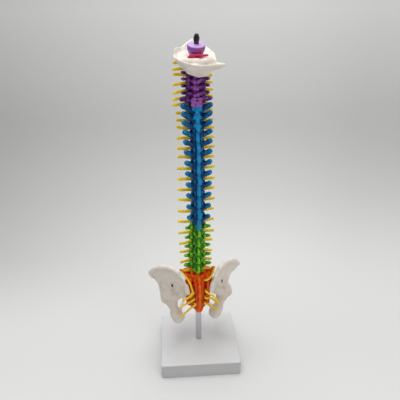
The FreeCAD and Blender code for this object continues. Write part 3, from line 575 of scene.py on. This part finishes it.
def lumbarMass(block, spot, share, reach):
    pair = bothSides(spot)
    edge = bar(spot, (0, -reach + 0.2, 1.6), (0, -reach + 0.6, -5.4), 1.3, 1.7)
    upperKnob = bar(pair, (8.6, -6.4, 3.4), (8.8, -7.2, 5.0), 2.3, 2.0)
    lowerKnob = bar(pair, (5.0, -8.2, -4.6), (5.2, -8.4, -7.2), 2.2, 1.7)
    arch = bar(pair, (2.6, -6.6, -share * 0.42), (2.8, -7.2, share * 0.30), 2.2, 2.5)
    hollow = bar(pair, (4.8, -9.9, 4.2), (5.6, -9.0, 9.0), 1.5, 2.0)
    for part, k in ((edge, 1.0), (upperKnob, 1.6), (lowerKnob, 1.6), (arch, 2.0)):
        block = merge(block, part, k)
    return carve(block, hollow, 1.0)


def cervicalMass(block, spot, level, share):
    pair = bothSides(spot)
    wide = vertebraForm["armReach"].get(level, vertebraForm["armReach"]["cervical"])
    arch = bar(pair, (2.6, -6.2, -1.2), (8.6, -5.2, 0.2), 2.5, 2.6, (1, 1, 0.85))
    knob = bar(pair, (wide - 0.8, -1.6, 0.2), (wide + 0.6, -1.8, 0.4), 1.9, 1.7)
    groove = bar(pair, (9.6, -8.4, -share * 0.5), (14.0, -6.4, -share * 0.44), 0.8, 0.8)
    block = merge(block, arch, 1.6)
    block = merge(block, knob, 1.4)
    block = carve(block, groove, 1.0)
    if level == "c7":
        tip = bar(pair, (3.0, -8.2, 0.4), (4.2, -10.4, -5.2), 3.3, 2.9)
        arm = bar(pair, (11.0, -5.6, 0.6), (17.4, -4.4, 1.6), 2.7, 2.4)
        block = merge(block, tip, 2.4)
        block = merge(block, arm, 2.0)
    return block


def vertebraPiece(node):
    form, look = vertebraForm, vertebraTone
    level = node.split("_")[-1]
    region, t = rankOf(level)
    step, share, station = form["step"], shareOf[level], middleOf[level]
    block, low, world, spot = openBlock(node, step, form["sigma"][region], station)
    reach = between(form["spineReach"][region], t)
    if region == "thoracic":
        block = thoracicMass(block, spot, level, t, share, reach)
    elif region == "lumbar":
        block = lumbarMass(block, spot, share, reach)
    elif level != "c1":
        block = cervicalMass(block, spot, level, share)
    block = block + form["wave"][region] * waves(world, levels.index(level) + 3, *form["waveRange"])
    # The canal stays open through the added mass
    bore = form["bore"] - np.hypot(spot[..., 0], spot[..., 1])
    block = np.maximum(block, np.where(np.abs(spot[..., 2]) < share * form["boreShare"], bore, -9.0))

    # Painted shade in pockets, on the neck's sides and beside the lumbar ridge; painted highlight along the
    # crest
    def tone(shade, points):
        place = intoStation(points, station)
        aside, behind = place[:, 0], -place[:, 1]
        deep = sampleAt(*pocket, points)
        width = look["crestWidth"].get(level, look["crestWidth"][region])
        crest = bell(aside, width) * unit((behind - reach + 5.0) / 3.0)
        if region == "cervical":
            start = look["neckFrom"].get(level, look["neckFrom"]["cervical"])
            shade = shade - look["neckShade"] * unit((np.abs(aside - 1.0) - start) / 4.0)
        if region == "lumbar":
            strip = bell(np.abs(aside) - 5.4, 2.4)
            shade = shade - look["lumbarShade"] * strip * unit((behind - 5.0) / 2.0)
        gain = look["crestHighlightGain"][region] * (look["brightGain"] if level in look["bright"] else 1.0)
        pocketShade = look["pocketShadeGain"][region] * unit(deep - look["pocketFrom"])
        return shade - look["base"] - pocketShade + gain * crest

    cast("cast_" + level, block, low, step, region, node, tone)


for node in sorted(nodes):
    if node in columnNodes and node != "sacrum":
        vertebraPiece(node)
print("vertebrae made")

# Knots from top to tip; the troughs, side ridges and holes are mirrored on the other side
sacrumForm = {
    "step": 0.7, "sigma": 0.9, "wave": 0.22, "waveRange": (3.6, 9.0), "crestRound": 1.7,
    "crest": ((0, -10.6, 131.0), (0, -14.0, 120.0), (0, -15.2, 106.0), (0, -14.0, 94.0),
              (0, -11.0, 84.0)),
    "trough": ((5.0, -12.6, 128.0), (5.0, -14.6, 116.0), (4.6, -15.4, 103.0), (4.0, -13.6, 91.0)),
    "outer": ((12.6, -9.6, 132.0), (11.8, -12.0, 119.0), (10.8, -12.4, 105.0), (9.8, -11.0, 92.0)),
    "holes": ((9.8, -9.0, 123.1), (9.0, -11.4, 111.3), (8.2, -11.6, 100.8), (7.2, -10.6, 91.6)),
    "tip": ((-1.0, -7.8, 77.0), (1.0, -7.8, 77.0)), "tipRound": 3.7,
    "pocketShadeGain": 1.1, "pocketFrom": 0.5, "crestHighlightGain": 0.4, "troughShadeGain": 0.34
}


def sacrumPiece():
    form = sacrumForm
    step = form["step"]
    block, low, world, spot = openBlock("sacrum", step, form["sigma"], None)
    pair = bothSides(spot)
    block = chain(block, spot, form["crest"], form["crestRound"], form["crestRound"], 1.6)
    for x, y, z in form["crest"][:-1]:
        block = merge(block, bar(spot, (x, y - 0.3, z), (x, y - 0.9, z - 2.4), 2.0, 1.7), 1.2)
    block = chain(block, pair, form["trough"], 2.0, 1.9, 1.2, carve)
    block = chain(block, pair, form["outer"], 1.5, 1.4, 1.8)
    for x, y, z in form["holes"]:
        block = carve(block, bar(pair, (x - 0.6, y - 4, z + 0.8), (x, y + 3.0, z), 2.5, 1.9), 1.0)
    block = chain(block, spot, form["tip"], form["tipRound"], form["tipRound"], 4.0)
    block = block + form["wave"] * waves(world, 41, *form["waveRange"])

    # Painted light on the sacrum: shade in the pockets and down the troughs, highlight along the crest
    def tone(shade, points):
        place = intoStation(points, None)
        aside, behind = place[:, 0], -place[:, 1]
        deep = sampleAt(*pocket, points)
        crest = bell(aside, 2.2) * unit((behind - 9.0) / 3.0)
        trough = bell(np.abs(aside) - 8.6, 2.2) * unit((behind - 5.0) / 3.0)
        pocketShade = form["pocketShadeGain"] * unit(deep - form["pocketFrom"])
        return shade - pocketShade + form["crestHighlightGain"] * crest - form["troughShadeGain"] * trough

    cast("cast_sacrum", block, low, step, "sacral", "sacrum", tone)


sacrumPiece()

# Given for the right bone and mirrored for the left; a mass row is start, end and the two radii
hipForm = {
    "step": 0.8, "sigma": 1.3, "wave": 0.16, "waveRange": (7.0, 18.0),
    "fineWave": 0.04, "fineRange": (2.6, 5.0),
    "rim": ((22.0, -16.2, 138.0), (29.0, -11.8, 146.4), (38.5, -2.4, 148.4), (49.5, 8.6, 144.6),
            (59.5, 19.6, 136.0), (66.0, 29.2, 125.0)), "rimRound": 2.5,
    "mass": (((17.0, -14.6, 113.6), (18.4, -14.2, 122.0), 2.8, 2.4),
             ((30.0, -3.4, 100.0), (24.0, -9.0, 108.0), 3.4, 3.0),
             ((41.0, 6.0, 102.0), (46.0, 10.0, 112.0), 7.0, 4.0),
             ((44.0, 9.0, 90.0), (45.0, 10.0, 98.0), 8.0, 7.4),
             ((38.0, 5.0, 82.0), (36.0, 3.0, 96.0), 5.0, 6.6),
             ((33.4, 3.6, 66.0), (36.0, 4.6, 80.0), 5.8, 5.2),
             ((28.6, 2.6, 56.6), (32.4, 2.8, 63.0), 7.6, 6.6),
             ((24.6, 4.4, 58.0), (27.0, 4.0, 62.0), 4.6, 4.0)),
    "leftTip": ((64.6, 28.0, 123.6), (62.6, 26.2, 119.4), 3.0, 2.6),
    "rightFlank": ((53.4, -10.0, 105.0), (53.4, 40.0, 107.0), 8.6, 8.6),
    "screw": (35.6, -6.0, 119.4), "screwWay": (-0.9063, 0.4226, 0.0),
    "fillSigma": 3.4, "fillDeep": 1.1, "fillLimit": 0.9, "fillFade": 4.2,
    "calm": 0.9, "calmHeight": 101.0, "calmSpread": 15.0, "calmFrom": 20.0, "calmRun": 5.0,
    "tuck": {"right": (-3.2, 3.4), "left": (0.8, 2.2)}, "tuckBelow": 100.0, "tuckRun": 36.0,
    "slots": {"right": (33.9, 119.4), "left": (36.8, 117.6)}, "slotRound": 1.3, "slotDeep": 2.6,
    "probe": (-24.0, 12.0, 0.2)
}
slotMouths = {}


def hipPiece(side):
    node = "hip_bone_" + side
    form = hipForm
    step = form["step"]
    sign = 1 if side == "right" else -1
    block, low, world, spot = openBlock(node, step, form["sigma"], None)
    spot = spot * np.array((sign, 1, 1), np.float32)
    block = chain(block, spot, form["rim"], form["rimRound"], form["rimRound"], 2.6)
    for row in form["mass"]:
        block = merge(block, bar(spot, *row), 5.0)
    if side == "left":
        block = merge(block, bar(spot, *form["leftTip"]), 2.4)
    else:
        block = carve(block, bar(spot, *form["rightFlank"]), 6.0)
    # The screw's recess is filled, and the flat outside the notch calmed, with a softer field
    way, start = np.array(form["screwWay"]), np.array(form["screw"])
    filled = np.minimum(soften(block, form["fillSigma"], step) - form["fillDeep"], block + form["fillLimit"])
    recess = bar(spot, start - way * 5, start + way * 7, 0.1, 0.1)
    share = unit(2.0 - np.maximum(recess, 0) / form["fillFade"])
    calm = form["calm"] * bell(spot[..., 2] - form["calmHeight"], form["calmSpread"])
    calm = calm * unit((spot[..., 0] - form["calmFrom"]) / form["calmRun"])
    share = np.maximum(share, calm)
    block = block * (1 - share) + filled * share
    # The seat is drawn in and up below the notch
    inward, upward = form["tuck"][side]
    draw = unit((form["tuckBelow"] - spot[..., 2]) / form["tuckRun"])
    draw = (draw * draw * (3 - 2 * draw))[..., None]
    turn = math.radians(canal["turn"])
    shift = np.array((sign * inward * math.cos(turn), sign * inward * math.sin(turn), upward), np.float32)
    block = sampleAt(block, low, step, (world - draw * shift).reshape(-1, 3)).reshape(block.shape)
    block = block.astype(np.float32)
    block = block + form["wave"] * waves(world, 17, *form["waveRange"])
    block = block + form["fineWave"] * waves(world, 18, *form["fineRange"])
    # An upright slot, cut straight in from behind where a probe meets the bone
    x, z = form["slots"][side]
    first, last, stride = form["probe"]
    probe = outOfStation([(sign * x, y, z) for y in np.arange(first, last, stride)], None)
    inside = np.nonzero(sampleAt(block, low, step, probe) < 0)[0]
    face = first + stride * inside[0]
    slotMouths[side] = (x, face, z)
    slot = bar(spot, (x, face - 9, z), (x, face + form["slotDeep"], z), form["slotRound"], form["slotRound"],
               (1, 1, 2.3))
    block = np.maximum(block, -slot)
    cast("cast_hip_" + side, block, low, step, "bone", node)


hipPiece("right")
hipPiece("left")

# Start and size of the block are counted in steps
screwForm = {
    "step": 0.4, "low": (-108, -50, 280), "shape": (216, 110, 44), "shaft": (4.6, 11),
    "shaftRound": 1.4, "endRound": 1.5, "endDeep": 0.6
}


# A shaft along the screw's own line, and its dark end deep in each slot, shaped to the slot so it also stands
# as painted shade inside it
def screwPiece():
    form = screwForm
    way, start = np.array(hipForm["screwWay"]), np.array(hipForm["screw"])
    low = np.array(form["low"])
    world = gridPoints(form["shape"], low, form["step"])
    spot = intoStation(world, None)
    near, far = form["shaft"]
    radius = form["shaftRound"]
    block = bar(bothSides(spot), start + way * near, start + way * far, radius, radius)
    for side, sign in (("right", 1), ("left", -1)):
        x, face, z = slotMouths[side]
        mouth = face + hipForm["slotDeep"]
        own = spot * np.array((sign, 1, 1), np.float32)
        end = bar(own, (x, mouth, z), (x, mouth + form["endDeep"], z), form["endRound"], form["endRound"],
                  (1, 1, 2.0))
        block = np.minimum(block, end)
    block = block.astype(np.float32)
    cast("cast_screws", block, low, form["step"], "screw", "hip_screws")


screwPiece()
print("hips made")

# A part row is start, end, the two radii and the rounding where it joins
skullForm = {
    "step": 0.55, "sigma": 0.7, "wave": 0.16, "waveRange": (5.0, 14.0), "grow": 0.10,
    "mound": ((-13.0, -7.0, -1.0), (-8.5, -13.0, -0.4), (-2.0, -15.4, -0.2), (2.4, -15.0, -1.0),
              (9.0, -14.4, 0.0), (14.5, -9.0, -0.6)), "moundRound": 2.8,
    "parts": (((-10.0, -21.0, -6.0), (9.0, -21.4, -8.4), 3.4, 3.4, 5.0),
              ((13.0, -19.6, -4.4), (25.6, -18.0, -3.2), 2.8, 2.2, 3.0),
              ((25.0, -18.2, -2.6), (29.4, -16.2, -2.8), 2.0, 1.6, 2.4)),
    "toneBase": 0.36, "toneGain": 0.4
}


def skullPiece():
    form = skullForm
    step = form["step"]
    block, low, world, spot = openBlock("occipital_bone", step, form["sigma"], headStation)
    block = chain(block, spot, form["mound"], form["moundRound"], form["moundRound"], 6.0)
    for start, end, r0, r1, k in form["parts"]:
        block = merge(block, bar(spot, start, end, r0, r1), k)
    # The right front corner is cut off square
    x, y = spot[..., 0], spot[..., 1]
    corner = np.maximum(23.0 + 0.10 * (y + 8.0) - x, -11.5 - y)
    block = carve(block, corner, 1.6)
    block = block - form["grow"] + form["wave"] * waves(world, 71, *form["waveRange"])

    # On the skull the painted shade of hollows is kept weak and the tone lifted toward the lighter colours
    def tone(shade, points):
        return form["toneBase"] + form["toneGain"] * shade

    cast("cast_occiput", block, low, step, "bone", "occipital_bone", tone)


skullPiece()

# The brain stem carries colours that run into one another, laid on as point colours; most are painted light:
# a lit top, sides toned as light falls, a collar in painted shade, and a magenta middle that is partly the
# artery trunk's colour and partly its painted reflection
stemForm = {
    "step": 0.5, "sigma": 0.45, "level": 0.03, "roughness": 0.36, "coat": 0.2,
    "top": (0.56, 0.36, 0.74), "left": (0.24, 0.075, 0.40), "middle": (0.38, 0.012, 0.15),
    "right": (0.17, 0.17, 0.27), "collar": (0.045, 0.010, 0.06),
    "rightFrom": 1.0, "rightRun": 5.5, "middleAt": 1.8, "middleWidth": 4.8, "middleTop": 15.2,
    "middleFade": 3.2, "topFrom": 14.0, "topRun": 1.0, "collarFrom": 15.7, "collarRun": 0.5,
    "collarRound": 3.6
}


def tintPaint(name, roughness, coat):
    material, n, link, shader = newMaterial(name)
    tint = n.new("ShaderNodeAttribute")
    tint.attribute_name = "tint"
    link(tint.outputs["Color"], shader.inputs["Base Color"])
    setInputs(shader, (("Roughness", roughness), ("Coat Weight", coat)))
    return material


paint["stem"] = tintPaint("lilacCasting", stemForm["roughness"], stemForm["coat"])


def stemPiece():
    form = stemForm
    block, low = readField(["brain_stem"], form["step"])
    block = soften(block, form["sigma"], form["step"])
    piece = skin("cast_stem", block, low, form["step"], paint["stem"], form["level"])
    spot = intoStation(pointsOf(piece.data), headStation)
    x, z = spot[:, 0], spot[:, 2]
    ring = np.hypot(x, spot[:, 1])
    # Painted light: lighter top, sides toned as light falls, collar darkened as painted shade, magenta middle
    # for the artery and its reflection
    toRight = unit((x - form["rightFrom"]) / form["rightRun"])
    toMiddle = bell(x - form["middleAt"], form["middleWidth"])
    toMiddle = toMiddle * unit((form["middleTop"] - z) / form["middleFade"])
    toTop = unit((z - form["topFrom"]) / form["topRun"])
    toCollar = unit((z - form["collarFrom"]) / form["collarRun"]) * (ring < form["collarRound"])
    tint = np.tile(np.array(form["left"], float), (len(x), 1))
    for key, weight in (("right", toRight), ("middle", toMiddle), ("top", toTop), ("collar", toCollar)):
        tint = tint * (1 - weight[:, None]) + np.array(form[key]) * weight[:, None]
    colours = np.concatenate((tint, np.ones((len(x), 1))), 1).astype(np.float32)
    piece.data.attributes.new("tint", "FLOAT_COLOR", "POINT").data.foreach_set("color", colours.ravel())
    seat(piece, "stem", "brain_stem")


stemPiece()

# A strand row is start, end and the two radii
arteryForm = {
    "step": 0.4, "wave": 0.10, "waveRange": (3.0, 7.0), "pad": 14, "join": 0.6,
    "strands": (((-10.4, -10.4, 4.2), (-8.2, -10.8, 6.4), 1.0, 1.4),
                ((-8.2, -10.8, 6.4), (-2.0, -11.6, 7.2), 1.5, 1.3),
                ((-2.0, -11.6, 7.2), (5.0, -11.5, 6.6), 1.3, 1.3),
                ((5.0, -11.5, 6.6), (11.6, -9.4, 6.2), 1.4, 1.2),
                ((-7.4, -11.2, 6.0), (-1.2, -12.6, 3.6), 1.1, 1.2),
                ((-1.2, -12.6, 3.6), (4.4, -12.0, 5.8), 1.2, 1.1),
                ((0.6, -11.4, 7.2), (0.8, -11.4, 9.0), 1.0, 0.7))
}


# The solid only sets the extent of the block; the strands are laid anew
def arteryPiece():
    form = arteryForm
    field, low = readField(["arteries"], form["step"], pad=form["pad"])
    world = gridPoints(field.shape, low, form["step"])
    spot = intoStation(world, headStation)
    block = np.full(field.shape, 9.0, np.float32)
    for row in form["strands"]:
        block = merge(block, bar(spot, *row), form["join"])
    block = block + form["wave"] * waves(world, 7, *form["waveRange"])
    cast("cast_arteries", block, low, form["step"], "artery", "arteries")


arteryPiece()


# Geometry Nodes tree: tubes of a stored girth along every path, swollen by slow noise
def tubeTree():
    group = bpy.data.node_groups.new("fleshTube", "GeometryNodeTree")
    face = group.interface
    face.new_socket("Paths", in_out="INPUT", socket_type="NodeSocketGeometry")
    for name, kind in (("Sides", "NodeSocketInt"), ("Swell", "NodeSocketFloat"),
                       ("Swell Scale", "NodeSocketFloat"), ("Paint", "NodeSocketMaterial")):
        face.new_socket(name, in_out="INPUT", socket_type=kind)
    face.new_socket("Tubes", in_out="OUTPUT", socket_type="NodeSocketGeometry")
    n, link = group.nodes, group.links.new
    given, out = n.new("NodeGroupInput"), n.new("NodeGroupOutput")
    curve = n.new("GeometryNodeMeshToCurve")
    radius = n.new("GeometryNodeSetCurveRadius")
    girth = n.new("GeometryNodeInputNamedAttribute")
    girth.data_type = "FLOAT"
    girth.inputs["Name"].default_value = "girth"
    ring = n.new("GeometryNodeCurvePrimitiveCircle")
    ring.inputs["Radius"].default_value = 1.0
    sweep = n.new("GeometryNodeCurveToMesh")
    sweep.inputs["Fill Caps"].default_value = True
    noise = n.new("ShaderNodeTexNoise")
    noise.inputs["Detail"].default_value = 2.0
    offCentre = n.new("ShaderNodeMath")
    offCentre.operation = "SUBTRACT"
    offCentre.inputs[1].default_value = 0.5
    centred = n.new("ShaderNodeMath")
    centred.operation = "MULTIPLY"
    push = n.new("ShaderNodeVectorMath")
    push.operation = "SCALE"
    place = n.new("GeometryNodeInputPosition")
    normal = n.new("GeometryNodeInputNormal")
    move = n.new("GeometryNodeSetPosition")
    smooth = n.new("GeometryNodeSetShadeSmooth")
    paintOn = n.new("GeometryNodeSetMaterial")
    real = n.new("GeometryNodeRealizeInstances")
    wire(link, (
        (given, "Paths", curve, "Mesh"), (curve, "Curve", radius, "Curve"),
        (girth, "Attribute", radius, "Radius"), (given, "Sides", ring, "Resolution"),
        (radius, "Curve", sweep, "Curve"), (ring, "Curve", sweep, "Profile Curve"),
        (girth, "Attribute", sweep, "Scale"), (place, "Position", noise, "Vector"),
        (given, "Swell Scale", noise, "Scale"), (noise, "Fac", offCentre, 0), (offCentre, 0, centred, 0),
        (given, "Swell", centred, 1), (normal, "Normal", push, 0), (centred, 0, push, "Scale"),
        (sweep, "Mesh", move, "Geometry"), (push, "Vector", move, "Offset"),
        (move, "Geometry", smooth, "Geometry"), (smooth, "Geometry", paintOn, "Geometry"),
        (given, "Paint", paintOn, "Material"), (paintOn, "Geometry", real, "Geometry"),
        (real, "Geometry", out, "Tubes")))
    return group


fleshTube = tubeTree()
tubeTone = {"middle": 0.62, "gain": 0.10, "seed": 5, "waveRange": (4.0, 12.0)}


# Paths are lists of (point, girth) in millimetres; the result is one mesh with a closed tube per path
def tubesAlong(name, paths, form, material):
    points, edges, girths = [], [], []
    for path in paths:
        for i, (spot, girth) in enumerate(path):
            if i:
                edges.append((len(points) - 1, len(points)))
            points.append([v * mm for v in spot])
            girths.append(girth * mm)
    mesh = bpy.data.meshes.new(name + "Paths")
    mesh.from_pydata(points, edges, [])
    mesh.attributes.new("girth", "FLOAT", "POINT").data.foreach_set("value", girths)
    holder = placed(name + "Paths", mesh)
    modifier = holder.modifiers.new("tubes", "NODES")
    modifier.node_group = fleshTube
    keys = {item.name: item.identifier for item in fleshTube.interface.items_tree if item.in_out == "INPUT"}
    modifier[keys["Sides"]] = form["sides"]
    modifier[keys["Swell"]] = form["swell"] * mm
    modifier[keys["Swell Scale"]] = form["swellScale"]
    modifier[keys["Paint"]] = material
    bpy.context.view_layer.update()
    made = bpy.data.meshes.new_from_object(holder.evaluated_get(bpy.context.evaluated_depsgraph_get()))
    bpy.data.objects.remove(holder)
    made.name = name
    if "girth" in made.attributes:
        made.attributes.remove(made.attributes["girth"])
    shift = waves(pointsOf(made), tubeTone["seed"], *tubeTone["waveRange"])
    storeRidge(made, tubeTone["middle"] + tubeTone["gain"] * shift)
    return placed(name, made)


# A smooth run (Catmull-Rom) through a few knots (x, y, z, girth), as a path for tubesAlong
def smoothRun(knots, per=4):
    knots = np.array(knots, float)
    padded = np.concatenate((2 * knots[:1] - knots[1:2], knots, 2 * knots[-1:] - knots[-2:-1]))
    run = []
    for i in range(1, len(padded) - 2):
        a, b, c, d = padded[i - 1:i + 3]
        for j in range(per):
            t = j / per
            square, cube = 2 * a - 5 * b + 4 * c - d, 3 * b - a - 3 * c + d
            run.append(0.5 * (2 * b + (c - a) * t + square * t * t + cube * t ** 3))
    run.append(knots[-1])
    return [(p[:3], p[3]) for p in run]


# Pairs run up a region, extra is (left, right), slant is by (side, level), and a knot is the share of
# the way out, the share of the girth and how far lift and sway bend it
rootForm = {
    "sides": 12, "swell": 0.9, "swellScale": 260.0, "sleeve": 3.1,
    "reach": {"lumbar": (22.5, 24.0), "thoracic": (24.5, 23.0), "cervical": (24.0, 23.0)},
    "extra": {"lumbar": (1.0, -0.4), "thoracic": (1.6, -1.2), "cervical": (3.4, -1.8)},
    "drop": {"lumbar": -3.0, "thoracic": 0.6, "cervical": -1.6},
    "girth": {"lumbar": 2.1, "thoracic": 2.05, "cervical": 1.95},
    "slant": {(-1, "c1"): 5.0, (-1, "c3"): 2.4, (-1, "c4"): -1.6, (-1, "c5"): -3.6, (-1, "c6"): -2.2,
              (-1, "t1"): -2.0, (-1, "t3"): 2.6, (1, "t2"): -1.0, (-1, "t6"): 1.6, (1, "t8"): -1.4,
              (-1, "t10"): 1.5, (-1, "l2"): -2.4, (1, "l3"): -2.2, (-1, "l4"): -1.8},
    "start": (2.0, 1.2), "forward": 2.6, "topStart": (1.4, -1.9), "topForward": -7.0,
    "knots": ((0.0, 0.95, 0.0), (0.22, 1.0, 0.3), (0.42, 1.05, 0.6), (0.62, 0.95, 1.0),
              (0.82, 0.92, 0.6), (0.95, 0.84, 0.2), (1.0, 0.42, 0.0)),
    "lift": (-0.9, 0.7), "sway": (-0.3, 0.3), "reachJitter": (-0.9, 0.7), "girthJitter": (0.94, 1.06),
    "sleeveFoot": 8.7, "sleeveTop": 0.8, "sleeveStops": 90
}


def rootPaths():
    form = rootForm
    rng = np.random.default_rng(11)
    paths = []
    for level in levels:
        region, t = rankOf(level)
        disc = between(canal[region][1], t)
        station = middleOf[level] - (shareOf[level] - disc) / 2 - disc / 2
        (x0, y0), y1 = form["start"], form["forward"]
        if level == "c1":
            station = middleOf["c1"] - canal["atlasRise"] / 2
            (x0, y0), y1 = form["topStart"], form["topForward"]
        for side, extra in zip((-1, 1), form["extra"][region]):
            reach = between(form["reach"][region], t) + extra
            drop = form["drop"][region] + form["slant"].get((side, level), 0.0)
            lift, sway = rng.uniform(*form["lift"]), rng.uniform(*form["sway"])
            reach += rng.uniform(*form["reachJitter"])
            knots = []
            for f, g, k in form["knots"]:
                x = x0 + (reach - x0) * f
                spot = outOfStation((side * x, y0 + (y1 - y0) * f + sway * k, drop * f + lift * k), station)
                knots.append((*spot, form["girth"][region] * g * rng.uniform(*form["girthJitter"])))
            paths.append(smoothRun(knots))
    return paths


def sleevePath():
    form = rootForm
    first, last = canal["sacral"] - form["sleeveFoot"], headStation - form["sleeveTop"]
    stops = np.linspace(first, last, form["sleeveStops"])
    return [(outOfStation((0, 0, 0), s), form["sleeve"]) for s in stops]


def cordPiece():
    piece = tubesAlong("cast_cord", rootPaths() + [sleevePath()], rootForm, paint["nerve"])
    seat(piece, "nerve", "cord_and_roots")


cordPiece()

# A route is side, x and z of its hole, bend and tip. The two strands run beside the sacral wings: the
# first, on the left, joins the uppermost sacral root along the hip's edge
sacralForm = {
    "sides": 12, "swell": 0.6, "swellScale": 300.0, "girth": 1.36, "strandGirth": 1.15,
    "routes": ((-1, 9.0, 111.3, (14.2, -18.4, 109.0), (25.0, -19.2, 103.4)),
               (-1, 8.2, 100.8, (13.6, -17.0, 99.4), (28.0, -17.0, 92.6)),
               (-1, 7.2, 91.6, (17.6, -14.8, 83.0), (28.4, -14.0, 72.6)),
               (1, 9.0, 111.3, (18.6, -19.4, 106.4), (26.6, -20.2, 94.2)),
               (1, 8.2, 100.8, (15.4, -16.8, 101.6), (27.4, -15.8, 90.0)),
               (1, 7.2, 91.6, (12.6, -14.6, 88.6), (27.2, -14.0, 78.0))),
    "strands": (((-25.2, -10.5, 146.0), (-19.6, -12.6, 139.0), (-14.8, -15.4, 131.5),
                 (-11.4, -17.6, 121.0), (-10.8, -18.2, 115.0), (-14.2, -18.6, 111.2)),
                ((23.4, -3.0, 142.6), (20.4, -7.0, 138.0), (16.6, -10.4, 132.8),
                 (11.6, -12.0, 129.4), (7.0, -11.6, 128.6))),
    "girths": (1.0, 1.0, 1.05, 1.05, 1.02, 1.0, 0.9, 0.5)
}


def sacralPiece():
    form = sacralForm
    paths = []
    for strand in form["strands"]:
        paths.append(smoothRun([(*outOfStation(p, None), form["strandGirth"]) for p in strand]))
    for side, x, z, bend, tip in form["routes"]:
        bend, tip = np.array(bend), np.array(tip)
        spots = [(x, -8.0, z), (x, -12.5, z + 0.3), (x + 0.25, -15.6, z + 0.3), bend + (-1.4, 0.3, 0.9), bend,
                 bend * 0.5 + tip * 0.5, bend * 0.1 + tip * 0.9, tip]
        knots = []
        for (px, py, pz), share in zip(spots, form["girths"]):
            knots.append((*outOfStation((side * px, py, pz), None), form["girth"] * share))
        paths.append(smoothRun(knots))
    piece = tubesAlong("cast_sacral_roots", paths, form, paint["nerve"])
    seat(piece, "nerve", "sacral_roots")


sacralPiece()
print("castings made")

# Nodes that no casting replaces show their own solid in their slot's paint
slotOf = {part["node"]: part["material_slot"] for part in frame["record"]["subparts"]}
for name, node in nodes.items():
    if not node.hide_render:
        node.data.materials.clear()
        node.data.materials.append(paint[slotOf[name]])

# In metres; the sweep lies a hair under the board
sweepForm = {
    "width": 4.0, "front": -2.2, "bend": 1.5, "round": 0.9, "rise": 2.6, "parts": 12,
    "under": 0.0002
}


def sweepMesh():
    # A floor that curves up into a wall well behind the object
    form = sweepForm
    rows = [(form["front"], 0.0), (form["bend"], 0.0)]
    for i in range(1, form["parts"] + 1):
        a = math.radians(90 * i / form["parts"])
        rows.append((form["bend"] + form["round"] * math.sin(a), form["round"] * (1 - math.cos(a))))
    rows.append((form["bend"] + form["round"], form["rise"]))
    points = [(x, y, z - form["under"]) for y, z in rows for x in (-form["width"], form["width"])]
    faces = [(2 * i, 2 * i + 1, 2 * i + 3, 2 * i + 2) for i in range(len(rows) - 1)]
    mesh = bpy.data.meshes.new("studioSweep")
    mesh.from_pydata(points, [], faces)
    mesh.polygons.foreach_set("use_smooth", [True] * len(faces))
    return mesh


def makeSweep():
    mesh = sweepMesh()
    sweep = placed("studioSweep", mesh)
    material, n, link, shader = newMaterial("paperSweep")
    setInputs(shader, (("Roughness", studio["roughness"]), ("Specular IOR Level", studio["specular"])))
    place = n.new("ShaderNodeTexCoord")
    split = n.new("ShaderNodeSeparateXYZ")
    link(place.outputs["Object"], split.inputs["Vector"])

    def math2(kind, first, second):
        node = n.new("ShaderNodeMath")
        node.operation = kind
        for socket, value in zip(node.inputs, (first, second)):
            if isinstance(value, float):
                socket.default_value = value
            else:
                link(value, socket)
        return node.outputs[0]

    def stepped(value, stops):
        start, end = stops[0][0], stops[-1][0]
        spread = mapRange(n, start, end)
        link(value, spread.inputs["Value"])
        ramp = n.new("ShaderNodeValToRGB")
        ramp.color_ramp.interpolation = "B_SPLINE"
        points = ramp.color_ramp.elements
        for at, _ in stops[1:-1]:
            points.new((at - start) / (end - start))
        for point, (_, tone) in zip(points, stops):
            point.color = (tone, tone, tone, 1)
        link(spread.outputs["Result"], ramp.inputs["Fac"])
        return ramp.outputs["Color"]

    # Painted shade: the paper darkens with depth and toward the left, in a fan from the front
    ahead = math2("MAXIMUM", math2("ADD", split.outputs["Y"], studio["fanFront"]), studio["fanLeast"])
    fan = math2("DIVIDE", math2("ADD", split.outputs["X"], studio["fanShift"]), ahead)
    near = mapRange(n, *studio["nearRange"])
    near.interpolation_type = "SMOOTHSTEP"
    across = n.new("ShaderNodeMix")
    across.inputs["A"].default_value = studio["nearTone"]
    wire(link, ((split, "Y", near, "Value"), (near, "Result", across, "Factor")))
    link(stepped(fan, studio["sideways"]), across.inputs["B"])
    shadeOf = math2("MULTIPLY", stepped(split.outputs["Y"], studio["depth"]), across.outputs["Result"])
    mix = n.new("ShaderNodeMix")
    mix.data_type = "RGBA"
    setInputs(mix, (("A", (0, 0, 0, 1)), ("B", (*studio["floor"], 1))))
    link(shadeOf, mix.inputs["Factor"])
    # A glow in the paper's own colour grows with depth and up the wall
    glow = mapRange(n, *studio["glowRange"], 0.0, studio["glow"])
    climb = mapRange(n, *studio["wallRange"], 0.0, studio["wallGlow"])
    wire(link, ((split, "Y", glow, "Value"), (split, "Z", climb, "Value"),
                (mix, "Result", shader, "Base Color"), (mix, "Result", shader, "Emission Color")))
    link(math2("ADD", glow.outputs["Result"], climb.outputs["Result"]), shader.inputs["Emission Strength"])
    mesh.materials.append(material)


makeSweep()
